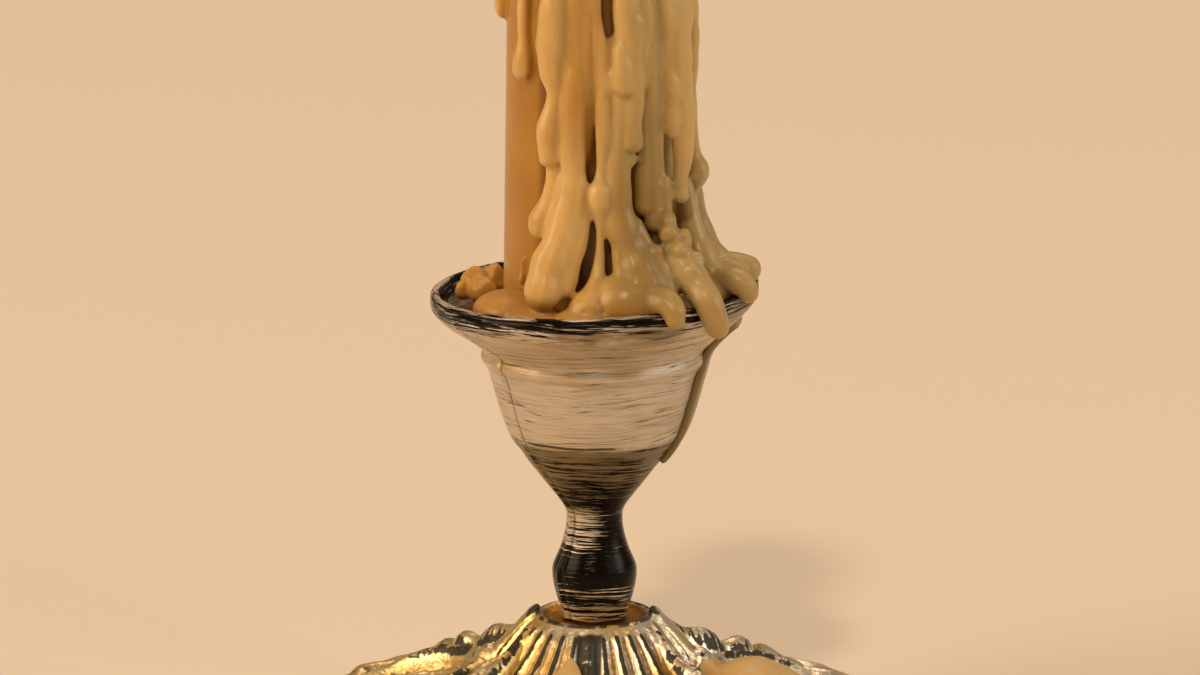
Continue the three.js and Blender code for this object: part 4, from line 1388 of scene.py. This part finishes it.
def add_puddle(x, y, half_x, half_y, thickness, pinch, drape):
    """A drop of set wax lying on the base."""
    deselect()
    bpy.ops.mesh.primitive_uv_sphere_add(segments=96, ring_count=64, radius=1.0)
    puddle = bpy.context.object
    unit = get_points(puddle)
    narrow = 1 - pinch * ease(unit[:, 1], -0.2, 1.0)
    grown = 1 + SPLASH_WANDER * wander(unit * (1, 1, 0), 2, (0, 0, x))
    px = x + unit[:, 0] * half_x * narrow * grown
    py = y + unit[:, 1] * half_y * grown
    bx, by = turned(px, py, -BASE_TURN)
    floor = base_height(bx, by)
    ground = plain_height(np.hypot(bx, by))
    middle = float(plain_height(np.array([math.hypot(x, y)]))[0])
    level = SPLASH_LIFT + drape * ground + (1 - drape) * np.minimum(ground, middle)
    up = np.clip(unit[:, 2], 0, 1)
    over = level + thickness * up**0.85
    sunk = floor - SPLASH_SUNK
    film = np.where(floor + 0.3 > level + thickness, floor - 0.3, floor + 0.15)
    full = ease(up, 0.0, 0.35)
    pz = np.where(unit[:, 2] > 0, sunk + (np.maximum(over, film) - sunk) * full, sunk)
    set_points(puddle, np.stack([px, py, pz], axis=1) * MM)
    return puddle


def splash_finish(sizes):
    """The wax of the splashes, dulled by dust."""
    finish = Finish("splashed_wax")
    place = finish.place()
    drift = finish.clouds(place, 220, 4, 0.55)
    fine = finish.clouds(place, 1100, 3, 0.6)
    tone = finish.mix(finish.step(drift, 0.3, 0.75), sizes.splash_colour, sizes.run_deep)
    normal = finish.bump(drift, 0.4 * MM, 0.4)
    return finish.surface(
        {
            "Base Color": tone,
            "Roughness": 0.36 + fine * 0.18,
            "Normal": finish.bump(fine, 0.07 * MM, 0.5, normal),
            "IOR": 1.44,
            "Subsurface Weight": 0.35,
            "Subsurface Radius": (1.0, 0.45, 0.18),
            "Subsurface Scale": 1.6 * MM,
            "Specular IOR Level": 0.42,
        }
    )


class CANDLE_OT_splash_wax(bpy.types.Operator):
    """Drops the splashes of wax on the base"""

    bl_idname = "candle.splash_wax"
    bl_label = "Splash wax on the base"

    def execute(self, context):
        sizes = context.scene.candle_wax
        material = splash_finish(sizes)
        for node, puddles in SPLASHES.items():
            splash = join([add_puddle(*puddle) for puddle in puddles], f"{node}_drop")
            remelt(splash, SPLASH_VOXEL * MM, SPLASH_MELT_STEPS)
            shade(splash, 60)
            dress(splash, material)
            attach(splash, "root")
            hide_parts(node)
        return {"FINISHED"}


# ------------------------------------------------------------------ stage

CAMERA_AIM = (0.7, 0.0, 52.9)
CAMERA_TILT = 12.6
CAMERA_SENSOR = 36.0
FLOOR_SIZE = 4.0
FLOOR_BACK = 0.6
LIGHT_DISTANCE = 4000.0
LIGHT_AIM_Z = 60.0

# [name, azimuth, elevation, size in metres, watts, colour]
LIGHTS = [
    ("key", -14, 47, 0.40, 46.0, (1.0, 0.72, 0.48)),
    ("window", -72, 28, 2.6, 94.0, (1.0, 0.72, 0.48)),
    ("backdrop", 165, 62, 3.0, 44.0, (1.0, 0.72, 0.49)),
    ("far_side", 82, 23, 1.8, 48.0, (0.80, 0.73, 0.62)),
    ("second", 48, 27, 0.5, 9.0, (0.92, 0.73, 0.55)),
]


def add_light(name, azimuth, elevation, size, watts, glow):
    """A round soft light aimed at the candle."""
    rise = math.radians(elevation)
    away, up = LIGHT_DISTANCE * math.cos(rise), LIGHT_DISTANCE * math.sin(rise)
    place = around(azimuth, away, up + LIGHT_AIM_Z)
    deselect()
    bpy.ops.object.light_add(type="AREA", location=place)
    light = bpy.context.object
    aim = around(0, 0, LIGHT_AIM_Z) - place
    light.rotation_euler = aim.to_track_quat("-Z", "Y").to_euler()
    light.name = name
    light.data.shape = "DISK"
    light.data.size = size
    light.data.energy = watts
    light.data.color = glow


def stage_finish(sizes):
    """Matt warm paper with a faint fibre."""
    finish = Finish("warm_paper")
    place = finish.place()
    fibre = finish.clouds(place, 900, 3, 0.6)
    tone = finish.mix(fibre * 0.15, sizes.floor_colour, sizes.floor_shade)
    return finish.surface({"Base Color": tone, "Roughness": 0.9, "Specular IOR Level": 0.1})


class CANDLE_OT_set_stage(bpy.types.Operator):
    """Lays the floor, and sets the lights and the camera"""

    bl_idname = "candle.set_stage"
    bl_label = "Set the stage"

    def execute(self, context):
        sizes = context.scene.candle_stage
        scene = context.scene
        aim = Vector(CAMERA_AIM) * MM
        tilt = math.radians(CAMERA_TILT)
        back = Vector((0, -math.cos(tilt), math.sin(tilt)))
        deselect()
        bpy.ops.object.camera_add(location=aim + back * sizes.camera_distance)
        camera = bpy.context.object
        camera.rotation_euler = (-back).to_track_quat("-Z", "Y").to_euler()
        camera.data.lens = sizes.lens
        camera.data.sensor_width = CAMERA_SENSOR
        camera.data.clip_start = 0.02
        camera.data.clip_end = 20.0
        scene.camera = camera
        deselect()
        bpy.ops.mesh.primitive_plane_add(size=FLOOR_SIZE, location=(0, FLOOR_BACK, 0))
        floor = bpy.context.object
        settle(floor)
        bpy.ops.object.mode_set(mode="EDIT")
        bpy.ops.mesh.subdivide(number_cuts=3)
        bpy.ops.object.mode_set(mode="OBJECT")
        name_piece(floor, "floor")
        dress(floor, stage_finish(sizes))
        for light in LIGHTS:
            add_light(*light)
        world = bpy.data.worlds.new("room")
        world.use_nodes = True
        background = world.node_tree.nodes["Background"]
        background.inputs["Color"].default_value = (*sizes.room_colour, 1.0)
        background.inputs["Strength"].default_value = sizes.room_strength
        scene.world = world
        scene.view_settings.view_transform = "Standard"
        return {"FINISHED"}


# ------------------------------------------------------------------ settings


def length(name, description, default):
    return bpy.props.FloatProperty(
        name=name, description=description, default=default, unit="LENGTH", precision=5
    )


def tint(name, description, default):
    return bpy.props.FloatVectorProperty(
        name=name, description=description, default=default, subtype="COLOR", min=0, max=1
    )


class WaxSettings(bpy.types.PropertyGroup):
    voxel: length("Wax detail", "Size of the smallest detail in the wax", 0.26 * MM)
    run_swell: length("Run swell", "Added to the radius of every run", 0.02 * MM)
    run_lift: length("Run lift", "How much further the runs stand off the candle", 0.25 * MM)
    melt_steps: bpy.props.IntProperty(
        name="Melt steps", description="How far the runs melt into each other", default=4, min=0
    )
    kept_share: bpy.props.FloatProperty(
        name="Kept share", description="Share of the wax's faces that are kept", default=0.52
    )
    shaft_colour: tint("Shaft", "Colour of the bare candle", (0.46, 0.235, 0.030))
    shaft_deep: tint("Shaft, deep", "Darker patches of the bare candle", (0.41, 0.20, 0.024))
    run_colour: tint("Runs", "Colour of the wax that has run", (0.72, 0.51, 0.20))
    run_deep: tint("Runs, deep", "Darker patches of the runs", (0.58, 0.375, 0.12))
    # painted shade: the dark colour laid in the gaps between the runs
    painted_gap_shade: tint("Gaps", "The candle seen between its runs", (0.20, 0.07, 0.006))
    pool_wax: tint("Pool", "Wax lying in the cup", (0.40, 0.205, 0.03))
    # painted shade on the right side of the wax
    painted_side_shade: tint("Cool side", "Dulled wax in the shade", (0.345, 0.265, 0.11))
    # painted shade on the thick wax low down near the cup
    painted_low_shade: tint("Lower wax", "Thick wax near the cup", (0.30, 0.18, 0.036))
    # partly the wax's own greyer tone, partly painted cool light from the right
    grey_wax_and_cool_light: tint("Far side", "Greyer wax at the right edge", (0.48, 0.37, 0.165))
    drain_wax: tint("Outside run", "Wax run down the outside of the cup", (0.23, 0.18, 0.075))
    crumb_wax: tint("Crumbs", "Broken crumbs of wax inside the rim", (0.54, 0.32, 0.08))
    burnt_wax: tint("Burnt wax", "Old wax in the bottom of the cup", (0.20, 0.075, 0.015))
    splash_colour: tint("Splashes", "Colour of the splashes on the base", (0.62, 0.46, 0.22))


class StandSettings(bpy.types.PropertyGroup):
    turn_steps: bpy.props.IntProperty(
        name="Turning steps", description="Facets round the turned castings", default=256, min=48
    )
    silver_colour: tint("Silver", "The brushed silver paint", (0.64, 0.575, 0.495))
    silver_pale: tint("Silver, pale", "The paint's lighter hairs", (0.84, 0.765, 0.67))
    silver_worn: tint("Silver, worn", "Where the paint is thin", (0.36, 0.27, 0.17))
    # dark olive laid in patches under the rim and low on the bowl
    dark_olive_colour: tint("Grime", "Dirt caught on the silver", (0.185, 0.14, 0.066))
    # golden tarnish, and a painted gold sheen on the bead ring
    tarnish_and_sheen_colour: tint("Tarnish", "Golden tarnish on the silver", (0.54, 0.385, 0.14))
    black_colour: tint("Black", "The black under the silver", (0.005, 0.0032, 0.002))
    leaf_colour: tint("Leaf", "The base's pale gold leaf", (0.91, 0.90, 0.82))
    # warmer patches of the leaf, and painted warm light on its left side
    leaf_warm_and_warm_light: tint("Leaf, warm", "Warmer patches of the leaf", (0.95, 0.71, 0.25))
    dull_leaf: tint("Leaf, dull", "Dirty leaf, and the bare casting under it", (0.44, 0.37, 0.22))
    dish_colour: tint("Dish", "Lacquer in the dish under the stem", (0.56, 0.26, 0.02))
    amber_colour: tint("Amber", "Lacquer gathered in hollows", (0.30, 0.14, 0.014))
    patina_colour: tint("Patina", "The dark under the leaf", (0.035, 0.035, 0.022))


class StageSettings(bpy.types.PropertyGroup):
    camera_distance: length("Camera distance", "From the camera to the candle", 0.870)
    lens: bpy.props.FloatProperty(
        name="Lens", description="Focal length", default=206.5, unit="CAMERA"
    )
    floor_colour: tint("Floor", "Colour of the floor", (0.86, 0.80, 0.70))
    floor_shade: tint("Floor, shade", "Darker fibres of the floor", (0.74, 0.68, 0.58))
    room_colour: tint("Room", "Light from all round", (1.0, 0.72, 0.49))
    room_strength: bpy.props.FloatProperty(
        name="Room strength", description="Strength of the light from all round", default=0.165
    )


class CANDLE_PT_maker(bpy.types.Panel):
    bl_idname = "CANDLE_PT_maker"
    bl_label = "Melted candle"
    bl_space_type = "VIEW_3D"
    bl_region_type = "UI"
    bl_category = "Candle"

    def draw(self, context):
        layout = self.layout
        for maker in MAKERS:
            layout.operator(maker.bl_idname)
        for group in (
            context.scene.candle_wax,
            context.scene.candle_stand,
            context.scene.candle_stage,
        ):
            box = layout.box()
            for key in group.__annotations__:
                box.prop(group, key)


MAKERS = (
    CANDLE_OT_pour_wax,
    CANDLE_OT_twist_wick,
    CANDLE_OT_cast_cup,
    CANDLE_OT_cast_base,
    CANDLE_OT_fit_screw,
    CANDLE_OT_splash_wax,
    CANDLE_OT_set_stage,
)
CLASSES = (WaxSettings, StandSettings, StageSettings, *MAKERS, CANDLE_PT_maker)


def register():
    for item in CLASSES:
        bpy.utils.register_class(item)
    bpy.types.Scene.candle_wax = bpy.props.PointerProperty(type=WaxSettings)
    bpy.types.Scene.candle_stand = bpy.props.PointerProperty(type=StandSettings)
    bpy.types.Scene.candle_stage = bpy.props.PointerProperty(type=StageSettings)


def unregister():
    del bpy.types.Scene.candle_stage
    del bpy.types.Scene.candle_stand
    del bpy.types.Scene.candle_wax
    for item in reversed(CLASSES):
        bpy.utils.unregister_class(item)


def main():
    register()
    bpy.ops.candle.set_stage()
    bpy.ops.candle.pour_wax()
    bpy.ops.candle.twist_wick()
    bpy.ops.candle.cast_cup()
    bpy.ops.candle.cast_base()
    bpy.ops.candle.fit_screw()
    bpy.ops.candle.splash_wax()


if __name__ == "__main__":
    main()
